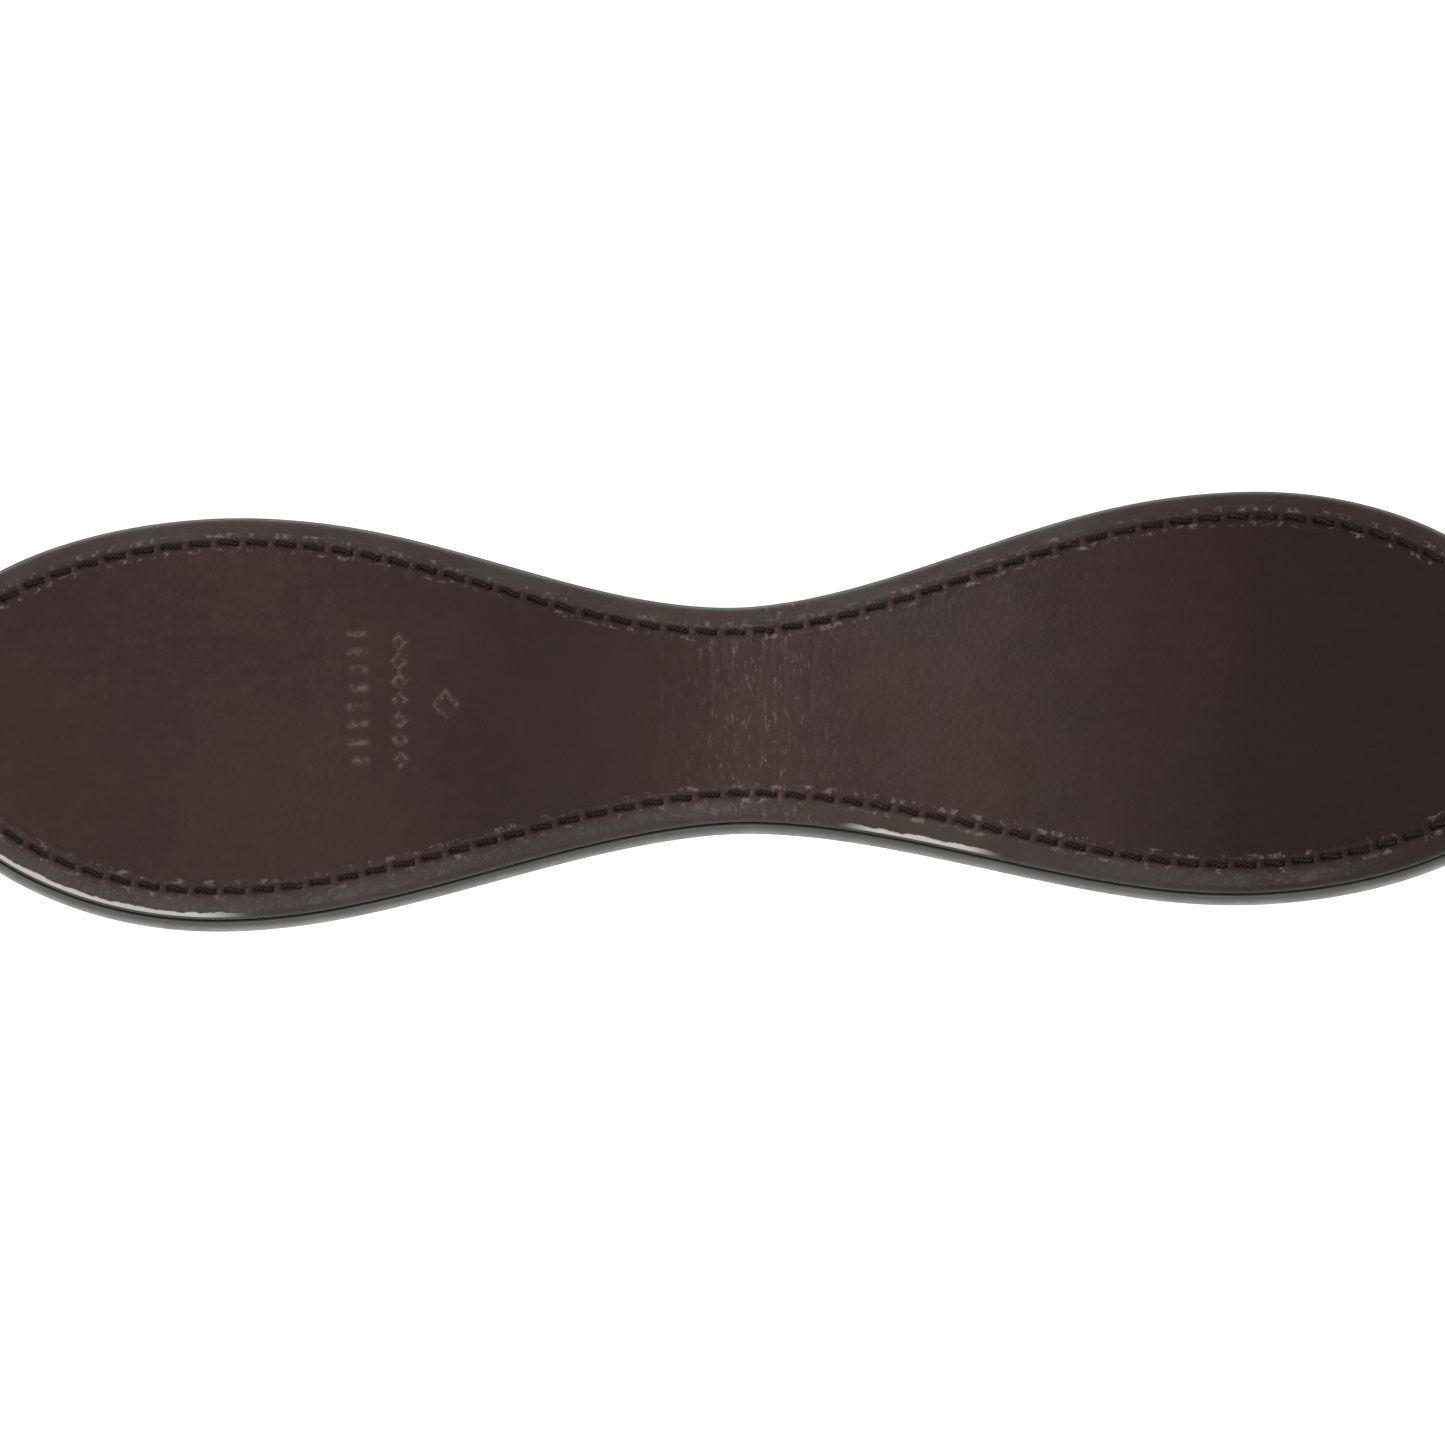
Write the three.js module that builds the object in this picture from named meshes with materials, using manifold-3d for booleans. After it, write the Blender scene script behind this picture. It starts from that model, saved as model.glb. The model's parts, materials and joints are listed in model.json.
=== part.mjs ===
// A violin shoulder rest: a leather-bound plate with an hourglass outline on two folding,
// height-adjustable legs whose rubber-gripped forks clip on the edges of the violin.
// Millimetres. X runs along the plate, Y across it, +Z is up towards the player's shoulder.
// The rest stands on the tips of its four claws, at z = 0.
import * as THREE from "three";
import { mergeVertices } from "three/addons/utils/BufferGeometryUtils.js";
import Module from "manifold-3d";

const wasm = await Module();
wasm.setup();

// Outline of the plate, seen from above
const LOBE_CENTRE = 69.3; // from the middle to the widest part of each lobe
const LOBE_LENGTH = 45.4; // from there to the tip
const LOBE_HALF_WIDTH = 28.8;
const WAIST_HALF_WIDTH = 15.7;
const WAIST_FULLNESS = 0.9; // exponent of the waist's cosine: lower is a rounder lobe
const TIP_STEPS = 8; // facets along each quarter of a lobe's end
const WAIST_STEPS = 20; // facets from lobe to lobe

// The bend of the plate along its length
const PLATE_HEIGHT = 68.2; // top of the edge binding above the claws' tips
const WAIST_DIP = 5.2;
const WAIST_REACH = 55;
const CURL_START = 72; // beyond this the left end turns up and the right end down
const CURL = 0.005;
const LEAN = 0.028;

// Layers of the plate, as heights above the top of the edge binding
const FACE_INSET = 0.8; // the binding shows this much all round the face leather
const FACE_TOP = 3.3;
const SEAM_INSET = 4.4;
const SEAM_TOP = 2.85; // face leather beside its seam
const SEAM_GROOVE = 0.9;
const SEAM_DEPTH = 0.5;
const THREAD_RADIUS = 0.3;
const THREAD_SIDES = 5;
const THREAD_LIFT = 0.1; // from the groove's floor to the thread
const RECESS_INSET = 8; // hollow under the face leather, which holds the pad
const PAD_INSET = 8.4;
const PAD_BOTTOM = -0.6;
const PAD_TOP = 0.9;
const CORE_INSET = 7.4;
const CORE_THICKNESS = 1.6;
const BINDING_WIDTH = 7;
const BINDING_THICKNESS = 3.6;
const BINDING_CHAMFER = 0.5;
const BACK_INSET = 0.4;
const BACK_TOP = -3.9;
const BACK_BOTTOM = -5.4;

// Legs: the distances of one leg are from its hinge pin, z down the leg, x outwards
const LEG_X = 95;
const PIN_HEIGHT = 46;
const PIN_RADIUS = 1.5;
const GAP = 0.3; // between pieces that touch, and round everything that turns
const THROUGH = 20; // how far a cut runs past the piece that it goes through
const BASE_HALF_WIDTH = 10; // the bracket's flat base
const BASE_INNER = -46;
const BASE_OUTER = 10;
const BASE_CORNER = 5;
const BASE_BOTTOM = 10.4;
const BASE_THICKNESS = 1.6;
const SADDLE_HALF_WIDTH = 12; // the saddle's ends are distances from the plate's middle
const SADDLE_INNER = 46;
const SADDLE_OUTER = 107;
const SADDLE_CORNER = 6;
const SADDLE_SEAT = PIN_HEIGHT + BASE_BOTTOM + BASE_THICKNESS + GAP; // above the claws' tips
const SCREW_PLACES = [-17, -35]; // outer and inner clamp screws
const SCREW_RADIUS = 1.5;
const SCREW_HEAD_RADIUS = 3.2;
const SCREW_HEAD_HEIGHT = 1.7;
const SCREW_SLOT = 0.9;
const WASHER_RADIUS = 4;
const WASHER_THICKNESS = 0.6;
const INSERT_RADIUS = 3;
const INSERT_DEPTH = 1.6; // insert's closed end below the top of the edge binding
const INSERT_WALL = 0.8;
const WIDTH_TRAVEL = 6; // each way
const EAR_INNER = 5.2; // the bracket's ears stand this far each side of the middle
const EAR_THICKNESS = 2;
const EAR_RADIUS = 4.5;
const EAR_FOOT = 8.5;
const LUG_HALF_WIDTH = 4.7; // the yoke's knuckle, between the ears
const FRAME_TOP = -6;
const FRAME_BOTTOM = -16.6;
const FRAME_LENGTH = 10;
const FRAME_WIDTH = 21;
const WINDOW_TOP = -10;
const WINDOW_BOTTOM = -15.2;
const WINDOW_WIDTH = 15.8;
const WHEEL_RADIUS = 7;
const WHEEL_TEETH = 20;
const TOOTH_DEPTH = 0.5;
const STEM_RADIUS = 2.5;
const STEM_TOP = -7.5;
const BORE_TOP = -4.2; // end of the yoke's bore, above the raised stem
const STEM_SHOULDER = -19;
const JOURNAL_RADIUS = 2;
const THREAD_PITCH = 1.5;
const HUB_RADIUS = 5.5;
const HUB_TOP = -19.5;
const HUB_BOTTOM = -26.5;
const CAP_BOTTOM = -30.2;
const CAP_RADIUS = 4;
const PRONG_RADIUS = 1.5;
const PRONG_Y = 12.5;
const ARM_END_X = 11.5;
const LEDGE_Z = -29.7;
const CLAW_X = 18.5;
const CLAW_BEND = 3.5;
const CLAW_DROP = 13;
const CLAW_TIP = 13.4; // where the prong ends under the violin
const SLEEVE_RADIUS = 3.3; // across the flats, from the prong's middle
const SLEEVE_TIP = 11.6;
const SLEEVE_FLOOR = 12.8; // where the sleeve's hollow ends

const materials = {
  faceLeather: finish(0x45332f, 0.45, 0),
  backLeather: finish(0x3a2c28, 0.7, 0),
  edge: finish(0x6a6660, 0.4, 0),
  foam: finish(0x2b2b2b, 0.95, 0),
  aluminium: finish(0xb9bcc0, 0.35, 1),
  thread: finish(0x201715, 0.8, 0),
  saddle: finish(0x222222, 0.6, 0),
  steel: finish(0x8f9297, 0.3, 1),
  blackSteel: finish(0x26272a, 0.45, 1),
  brass: finish(0xb08d4f, 0.3, 1),
  rubber: finish(0x1b1b1b, 0.85, 0),
};

function finish(color, roughness, metalness) {
  return new THREE.MeshStandardMaterial({ color, roughness, metalness });
}

// ---- solids ----

function toSolid(geometry) {
  const plain = geometry.index ? geometry.toNonIndexed() : geometry.clone();
  plain.deleteAttribute("normal");
  plain.deleteAttribute("uv");
  const merged = mergeVertices(plain, 1e-3);
  return new wasm.Manifold(
    new wasm.Mesh({
      numProp: 3,
      vertProperties: new Float32Array(merged.attributes.position.array),
      triVerts: new Uint32Array(merged.index.array),
    }),
  );
}

function toGeometry(solid) {
  const { vertProperties, triVerts } = solid.getMesh();
  const geometry = new THREE.BufferGeometry();
  geometry.setAttribute("position", new THREE.BufferAttribute(vertProperties, 3));
  geometry.setIndex(new THREE.BufferAttribute(triVerts, 1));
  geometry.computeVertexNormals();
  return geometry;
}

function join(first, ...others) {
  return toGeometry(others.reduce((sum, g) => sum.add(toSolid(g)), toSolid(first)));
}

function cut(first, ...others) {
  return toGeometry(others.reduce((sum, g) => sum.subtract(toSolid(g)), toSolid(first)));
}

function box(x0, x1, y0, y1, z0, z1) {
  const geometry = new THREE.BoxGeometry(x1 - x0, y1 - y0, z1 - z0);
  return geometry.translate((x0 + x1) / 2, (y0 + y1) / 2, (z0 + z1) / 2);
}

// An upright cylinder
function post(x, y, radius, z0, z1, sides = 16) {
  const geometry = new THREE.CylinderGeometry(radius, radius, z1 - z0, sides);
  return geometry.rotateX(Math.PI / 2).translate(x, y, (z0 + z1) / 2);
}

// A cylinder lying along Y
function bar(x, z, radius, y0, y1, sides = 16) {
  const geometry = new THREE.CylinderGeometry(radius, radius, y1 - y0, sides);
  return geometry.translate(x, (y0 + y1) / 2, z);
}

// An upright turned piece: profile points are (radius, z), from the axis back to the axis
function turned(points, sides = 16) {
  const profile = points.map(([radius, z]) => new THREE.Vector2(radius, z));
  return new THREE.LatheGeometry(profile, sides).rotateX(Math.PI / 2);
}

// A flat bar with round ends along X, between z0 and z1
function stadium(x0, x1, halfWidth, z0, z1, radius = halfWidth) {
  const shape = roundedRectangle(x0, x1, -halfWidth, halfWidth, radius);
  const geometry = new THREE.ExtrudeGeometry(shape, {
    depth: z1 - z0,
    bevelEnabled: false,
    curveSegments: 4,
  });
  return geometry.translate(0, 0, z0);
}

function roundedRectangle(x0, x1, y0, y1, radius) {
  const shape = new THREE.Shape();
  shape.absarc(x1 - radius, y0 + radius, radius, -Math.PI / 2, 0);
  shape.absarc(x1 - radius, y1 - radius, radius, 0, Math.PI / 2);
  shape.absarc(x0 + radius, y1 - radius, radius, Math.PI / 2, Math.PI);
  shape.absarc(x0 + radius, y0 + radius, radius, Math.PI, 1.5 * Math.PI);
  shape.closePath();
  return shape;
}

function polygon(radius, sides, turn = 0) {
  const points = [];
  for (let i = 0; i < sides; i += 1) {
    const angle = turn + (2 * Math.PI * i) / sides;
    points.push(new THREE.Vector2(radius * Math.cos(angle), radius * Math.sin(angle)));
  }
  return new THREE.Shape(points);
}

function sweep(shape, path, steps) {
  return new THREE.ExtrudeGeometry(shape, { steps, extrudePath: path, bevelEnabled: false });
}

// ---- the plate ----

function halfWidth(x) {
  const inward = LOBE_CENTRE - Math.abs(x);
  if (inward < 0) {
    return LOBE_HALF_WIDTH * Math.sqrt(Math.max(0, 1 - (inward / LOBE_LENGTH) ** 2));
  }
  const swell = Math.cos((Math.PI * inward) / (2 * LOBE_CENTRE)) ** 2;
  return WAIST_HALF_WIDTH + (LOBE_HALF_WIDTH - WAIST_HALF_WIDTH) * swell ** WAIST_FULLNESS;
}

// Height of the bent plate above its lobes' level
function bend(x) {
  const reach = Math.min(Math.abs(x) / WAIST_REACH, 1);
  const beyond = Math.max(Math.abs(x) - CURL_START, 0);
  const dip = (-WAIST_DIP * (1 + Math.cos(Math.PI * reach))) / 2;
  return dip - Math.sign(x) * CURL * beyond ** 2 + LEAN * x;
}

// Points of the outline's far half, from the left tip to the right tip, with their normals
function outlinePoints() {
  const points = [];
  for (let i = 0; i <= TIP_STEPS; i += 1) {
    const angle = Math.PI - (i / TIP_STEPS) * (Math.PI / 2);
    points.push(ellipsePoint(-LOBE_CENTRE, angle));
  }
  for (let i = 1; i < WAIST_STEPS; i += 1) {
    const x = LOBE_CENTRE * ((2 * i) / WAIST_STEPS - 1);
    const slope = (halfWidth(x + 0.01) - halfWidth(x - 0.01)) / 0.02;
    const length = Math.hypot(1, slope);
    points.push({ x, y: halfWidth(x), nx: -slope / length, ny: 1 / length });
  }
  for (let i = TIP_STEPS; i >= 0; i -= 1) {
    points.push(ellipsePoint(LOBE_CENTRE, (i / TIP_STEPS) * (Math.PI / 2)));
  }
  return points;
}

function ellipsePoint(centre, angle) {
  const nx = Math.cos(angle) / LOBE_LENGTH;
  const ny = Math.sin(angle) / LOBE_HALF_WIDTH;
  const length = Math.hypot(nx, ny);
  return {
    x: centre + LOBE_LENGTH * Math.cos(angle),
    y: LOBE_HALF_WIDTH * Math.sin(angle),
    nx: nx / length,
    ny: ny / length,
  };
}

const OUTLINE = outlinePoints();
const LAST = OUTLINE.length - 1;
const RING = 2 * LAST; // points round the outline

// Ring point k, anticlockwise from the right tip, moved in by an inset and set at a height
function ringPoint(k, inset, z) {
  const far = k <= LAST;
  const p = OUTLINE[far ? LAST - k : k - LAST];
  const x = p.x - inset * p.nx;
  const y = p.y - inset * p.ny;
  return new THREE.Vector3(x, far ? y : -y, PLATE_HEIGHT + bend(x) + z);
}

// A layer that follows the outline and the bend: rings of [inset, z] from its underside round
// its edge to its top. A hollow ring joins its last ring to its first in place of two caps.
function layer(rings, hollow = false) {
  const points = [];
  for (const [inset, z] of rings) {
    for (let k = 0; k < RING; k += 1) points.push(ringPoint(k, inset, z));
  }
  const index = [];
  const sides = hollow ? rings.length : rings.length - 1;
  for (let r = 0; r < sides; r += 1) {
    const low = r * RING;
    const high = ((r + 1) % rings.length) * RING;
    for (let k = 0; k < RING; k += 1) {
      const next = (k + 1) % RING;
      index.push(low + k, low + next, high + next, low + k, high + next, high + k);
    }
  }
  if (!hollow) {
    cap(index, 0, true);
    cap(index, (rings.length - 1) * RING, false);
  }
  return surface(points, index);
}

// Closes a ring with strips from its near side straight across to its far side
function cap(index, start, down) {
  for (let k = 0; k < LAST; k += 1) {
    const far = start + k;
    const farNext = start + k + 1;
    const near = start + ((RING - k) % RING);
    const nearNext = start + RING - k - 1;
    const faces = [];
    if (far !== near) faces.push([far, farNext, near]);
    if (farNext !== nearNext) faces.push([farNext, nearNext, near]);
    for (const [a, b, c] of faces) index.push(...(down ? [a, c, b] : [a, b, c]));
  }
}

function surface(points, index) {
  const geometry = new THREE.BufferGeometry().setFromPoints(points);
  geometry.setIndex(index);
  geometry.computeVertexNormals();
  return geometry;
}

// Hollow below for the pad, rounded over at its edge, and grooved for the seam
function facePanel() {
  const inner = SEAM_INSET + SEAM_GROOVE / 2;
  const outer = SEAM_INSET - SEAM_GROOVE / 2;
  const floor = SEAM_TOP - SEAM_DEPTH;
  return layer([
    [RECESS_INSET, PAD_TOP + GAP],
    [RECESS_INSET, GAP],
    [FACE_INSET + 0.3, GAP],
    [FACE_INSET, 0.8],
    [FACE_INSET, 1.7],
    [FACE_INSET + 0.6, 2.5],
    [FACE_INSET + 1.6, 2.8],
    [outer, SEAM_TOP],
    [outer, floor],
    [inner, floor],
    [inner, SEAM_TOP + 0.05],
    [BINDING_WIDTH, FACE_TOP - 0.15],
    [12, FACE_TOP],
  ]);
}

function backPanel() {
  const inner = SEAM_INSET + SEAM_GROOVE / 2;
  const outer = SEAM_INSET - SEAM_GROOVE / 2;
  const whole = layer([
    [inner, BACK_BOTTOM],
    [inner, BACK_BOTTOM + SEAM_DEPTH],
    [outer, BACK_BOTTOM + SEAM_DEPTH],
    [outer, BACK_BOTTOM],
    [BACK_INSET + 0.9, BACK_BOTTOM],
    [BACK_INSET, BACK_BOTTOM + 0.5],
    [BACK_INSET, BACK_TOP],
  ]);
  return cut(whole, ...insertHoles());
}

function corePlate() {
  const whole = layer([
    [CORE_INSET, -BINDING_THICKNESS],
    [CORE_INSET, CORE_THICKNESS - BINDING_THICKNESS],
  ]);
  return cut(whole, ...insertHoles());
}

function insertHoles() {
  return insertPlaces().map((x) =>
    post(x, 0, INSERT_RADIUS + GAP, PLATE_HEIGHT - THROUGH, PLATE_HEIGHT + THROUGH),
  );
}

function insertPlaces() {
  return [-1, 1].flatMap((side) => SCREW_PLACES.map((x) => side * (LEG_X + x)));
}

function edgeBinding() {
  return layer(
    [
      [BINDING_WIDTH, -BINDING_THICKNESS],
      [BINDING_CHAMFER, -BINDING_THICKNESS],
      [0, BINDING_CHAMFER - BINDING_THICKNESS],
      [0, -BINDING_CHAMFER],
      [BINDING_CHAMFER, 0],
      [BINDING_WIDTH, 0],
    ],
    true,
  );
}

function facePad() {
  return layer([
    [PAD_INSET, PAD_BOTTOM],
    [PAD_INSET, PAD_TOP],
  ]);
}

// One seam thread, lying in its groove: a closed loop whose middle line is at height z
function seamThread(z) {
  const rings = [];
  for (let i = 0; i < THREAD_SIDES; i += 1) {
    const angle = (-2 * Math.PI * i) / THREAD_SIDES - Math.PI / 2;
    rings.push([
      SEAM_INSET - THREAD_RADIUS * Math.cos(angle),
      z - THREAD_RADIUS * Math.sin(angle),
    ]);
  }
  return layer(rings, true);
}

// The block that fits the plate's bent back and gives the bracket a flat seat
function saddle(side) {
  const top = PLATE_HEIGHT + THROUGH;
  const ends = [side * SADDLE_INNER, side * SADDLE_OUTER].sort((a, b) => a - b);
  const block = stadium(...ends, SADDLE_HALF_WIDTH, SADDLE_SEAT, top, SADDLE_CORNER);
  const outset = -2;
  const plate = layer([
    [outset, BACK_BOTTOM - GAP],
    [outset, 2 * THROUGH],
  ]);
  return cut(block, plate, ...insertHoles());
}

// ---- one leg, in its own frame: origin on the hinge pin, +X outwards, +Z up ----

// The screws' nuts and heads belong to the plate, so they are placed from the plate's side
function threadedInsert(x) {
  const top = PLATE_HEIGHT + bend(x) - INSERT_DEPTH;
  return cut(
    post(x, 0, INSERT_RADIUS, SADDLE_SEAT + 0.5, top),
    post(x, 0, SCREW_RADIUS + GAP, SADDLE_SEAT - THROUGH, top - INSERT_WALL, 12),
  );
}

function clampWasher() {
  const top = BASE_BOTTOM - GAP;
  const ring = post(0, 0, WASHER_RADIUS, top - WASHER_THICKNESS, top, 18);
  return cut(ring, post(0, 0, SCREW_RADIUS + GAP, top - THROUGH, top + THROUGH, 12));
}

function clampScrew(x, side) {
  const headTop = BASE_BOTTOM - WASHER_THICKNESS - 2 * GAP;
  const headBottom = headTop - SCREW_HEAD_HEIGHT;
  const insertTop = PLATE_HEIGHT + bend(side * (LEG_X + x)) - INSERT_DEPTH;
  const tip = insertTop - INSERT_WALL - GAP - PIN_HEIGHT;
  const screw = turned([
    [0, headBottom],
    [SCREW_HEAD_RADIUS - 0.8, headBottom],
    [SCREW_HEAD_RADIUS, headBottom + 0.7],
    [SCREW_HEAD_RADIUS, headTop],
    [SCREW_RADIUS, headTop],
    [SCREW_RADIUS, tip],
    [0, tip],
  ]);
  const half = SCREW_SLOT / 2;
  const slot = box(-THROUGH, THROUGH, -half, half, headTop - THROUGH, headTop - SCREW_SLOT);
  return cut(screw, slot);
}

function bracket() {
  const base = stadium(
    BASE_INNER,
    BASE_OUTER,
    BASE_HALF_WIDTH,
    BASE_BOTTOM,
    BASE_BOTTOM + BASE_THICKNESS,
    BASE_CORNER,
  );
  const ears = [-1, 1].map((side) => ear(side));
  const slots = SCREW_PLACES.map((x) =>
    stadium(
      x - WIDTH_TRAVEL - SCREW_RADIUS - GAP,
      x + WIDTH_TRAVEL + SCREW_RADIUS + GAP,
      SCREW_RADIUS + GAP,
      BASE_BOTTOM - THROUGH,
      BASE_BOTTOM + THROUGH,
    ),
  );
  return cut(join(base, ...ears), ...slots);
}

function ear(side) {
  const shape = new THREE.Shape();
  shape.moveTo(-EAR_FOOT, BASE_BOTTOM + 0.2);
  shape.lineTo(-EAR_RADIUS, BASE_BOTTOM - 4);
  shape.lineTo(-EAR_RADIUS, 0);
  shape.absarc(0, 0, EAR_RADIUS, Math.PI, 2 * Math.PI);
  shape.lineTo(EAR_RADIUS, BASE_BOTTOM - 4);
  shape.lineTo(EAR_FOOT, BASE_BOTTOM + 0.2);
  shape.closePath();
  const hole = new THREE.Path();
  hole.absarc(0, 0, PIN_RADIUS + GAP, 0, 2 * Math.PI);
  shape.holes.push(hole);
  const plate = new THREE.ExtrudeGeometry(shape, {
    depth: EAR_THICKNESS,
    bevelEnabled: false,
    curveSegments: 7,
  });
  const y = side > 0 ? EAR_INNER + EAR_THICKNESS : -EAR_INNER;
  return plate.rotateX(Math.PI / 2).translate(0, y, 0);
}

function hingePin() {
  const end = EAR_INNER + EAR_THICKNESS + GAP;
  return turned([
    [0, -end - 1.2],
    [2.2, -end - 1.2],
    [2.8, -end - 0.8],
    [2.8, -end],
    [PIN_RADIUS, -end],
    [PIN_RADIUS, end],
    [2.3, end],
    [2.3, end + 0.5],
    [1.6, end + 1],
    [0, end + 1],
  ]).rotateX(-Math.PI / 2);
}

function yoke() {
  const lug = box(-EAR_RADIUS, EAR_RADIUS, -LUG_HALF_WIDTH, LUG_HALF_WIDTH, FRAME_TOP - 0.5, 0);
  const knuckle = bar(0, 0, EAR_RADIUS, -LUG_HALF_WIDTH, LUG_HALF_WIDTH, 20);
  const halfLength = FRAME_LENGTH / 2;
  const frame = stadium(-halfLength, halfLength, FRAME_WIDTH / 2, FRAME_BOTTOM, FRAME_TOP, 2);
  const half = WINDOW_WIDTH / 2;
  const window = box(-THROUGH, THROUGH, -half, half, WINDOW_BOTTOM, WINDOW_TOP);
  const bore = post(0, 0, STEM_RADIUS + GAP, FRAME_BOTTOM - THROUGH, BORE_TOP);
  const pinHole = bar(0, 0, PIN_RADIUS + GAP, -THROUGH, THROUGH);
  return cut(join(lug, knuckle, frame), window, bore, pinHole);
}

function heightWheel() {
  const points = [];
  for (let i = 0; i < 2 * WHEEL_TEETH; i += 1) {
    const angle = (Math.PI * i) / WHEEL_TEETH;
    const radius = WHEEL_RADIUS - (i % 2) * TOOTH_DEPTH;
    points.push(new THREE.Vector2(radius * Math.cos(angle), radius * Math.sin(angle)));
  }
  const shape = new THREE.Shape(points);
  const hole = new THREE.Path();
  hole.absarc(0, 0, STEM_RADIUS + GAP, 0, 2 * Math.PI);
  shape.holes.push(hole);
  const depth = WINDOW_TOP - WINDOW_BOTTOM - 2 * GAP;
  const wheel = new THREE.ExtrudeGeometry(shape, {
    depth,
    bevelEnabled: false,
    curveSegments: 8,
  });
  return wheel.translate(0, 0, WINDOW_BOTTOM + GAP);
}

function legScrew() {
  const profile = [[0, CAP_BOTTOM + 1.7]];
  profile.push([SCREW_RADIUS, CAP_BOTTOM + 1.7], [SCREW_RADIUS, HUB_BOTTOM - GAP]);
  profile.push([JOURNAL_RADIUS, HUB_BOTTOM - GAP], [JOURNAL_RADIUS, STEM_SHOULDER]);
  profile.push([STEM_RADIUS, STEM_SHOULDER]);
  for (let z = STEM_SHOULDER + 1; z < STEM_TOP - 1; z += THREAD_PITCH) {
    profile.push([STEM_RADIUS, z], [STEM_RADIUS - 0.4, z + THREAD_PITCH / 2]);
  }
  profile.push([STEM_RADIUS, STEM_TOP - 0.5], [STEM_RADIUS - 0.5, STEM_TOP], [0, STEM_TOP]);
  return turned(profile, 12);
}

function capNut() {
  const top = HUB_BOTTOM - GAP;
  const bore = SCREW_RADIUS + GAP;
  return turned([
    [0, CAP_BOTTOM],
    [2.4, CAP_BOTTOM],
    [3.5, CAP_BOTTOM + 0.7],
    [CAP_RADIUS, CAP_BOTTOM + 1.6],
    [CAP_RADIUS, top],
    [bore, top],
    [bore, CAP_BOTTOM + 1.3],
    [0, CAP_BOTTOM + 1.3],
  ]);
}

// The claw's middle line: out along the ledge, down, and back in under the violin's edge
function clawPath(side, start, end, path = new THREE.CurvePath()) {
  const at = (x, z) => new THREE.Vector3(x, side * PRONG_Y, z);
  const foot = LEDGE_Z - CLAW_DROP;
  const bendX = CLAW_X - CLAW_BEND;
  const quarter = (x, z, from) => {
    const points = [];
    for (let i = 0; i <= 4; i += 1) {
      const angle = from - (i / 4) * (Math.PI / 2);
      points.push(at(x + CLAW_BEND * Math.cos(angle), z + CLAW_BEND * Math.sin(angle)));
    }
    return points;
  };
  const points = [at(start, LEDGE_Z)];
  points.push(...quarter(bendX, LEDGE_Z - CLAW_BEND, Math.PI / 2));
  points.push(...quarter(bendX, foot + CLAW_BEND, 0), at(end, foot));
  for (let i = 1; i < points.length; i += 1) {
    path.add(new THREE.LineCurve3(points[i - 1], points[i]));
  }
  return path;
}

function prong(side) {
  const arm = new THREE.CatmullRomCurve3(
    [
      [2.6, 3.4, -21.5],
      [6.5, 6, -22.6],
      [9, 9.4, -26.2],
      [10.5, 12.1, -29.1],
      [ARM_END_X, PRONG_Y, LEDGE_Z],
    ].map(([x, y, z]) => new THREE.Vector3(x, side * y, z)),
  );
  const path = new THREE.CurvePath();
  path.add(arm);
  clawPath(side, ARM_END_X, CLAW_TIP, path);
  return sweep(polygon(PRONG_RADIUS, 6), path, 26);
}

function fork() {
  const hub = post(0, 0, HUB_RADIUS, HUB_BOTTOM, HUB_TOP, 20);
  const bore = post(0, 0, JOURNAL_RADIUS + GAP, HUB_BOTTOM - THROUGH, HUB_TOP + THROUGH, 12);
  return cut(join(hub, prong(-1), prong(1)), bore);
}

function gripSleeve(side) {
  const eighth = Math.PI / 8;
  const outline = polygon(SLEEVE_RADIUS / Math.cos(eighth), 8, eighth);
  const skin = sweep(outline, clawPath(side, ARM_END_X + 0.4, SLEEVE_TIP), 18);
  const hollow = polygon(PRONG_RADIUS + 2 * GAP, 6);
  const socket = sweep(hollow, clawPath(side, ARM_END_X - 1, SLEEVE_FLOOR), 20);
  return cut(skin, socket);
}

// ---- assembly ----

const rest = new THREE.Group();

function addPiece(parent, name, geometry, material) {
  const piece = new THREE.Mesh(geometry, material);
  piece.name = name;
  parent.add(piece);
}

function addPlate() {
  addPiece(rest, "face_leather", facePanel(), materials.faceLeather);
  addPiece(rest, "face_pad", facePad(), materials.foam);
  addPiece(rest, "core_plate", corePlate(), materials.aluminium);
  addPiece(rest, "edge_binding", edgeBinding(), materials.edge);
  addPiece(rest, "back_leather", backPanel(), materials.backLeather);
  const faceSeam = SEAM_TOP - SEAM_DEPTH + THREAD_RADIUS + THREAD_LIFT;
  const backSeam = BACK_BOTTOM + SEAM_DEPTH - THREAD_RADIUS - THREAD_LIFT;
  addPiece(rest, "face_thread", seamThread(faceSeam), materials.thread);
  addPiece(rest, "back_thread", seamThread(backSeam), materials.thread);
}

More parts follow.
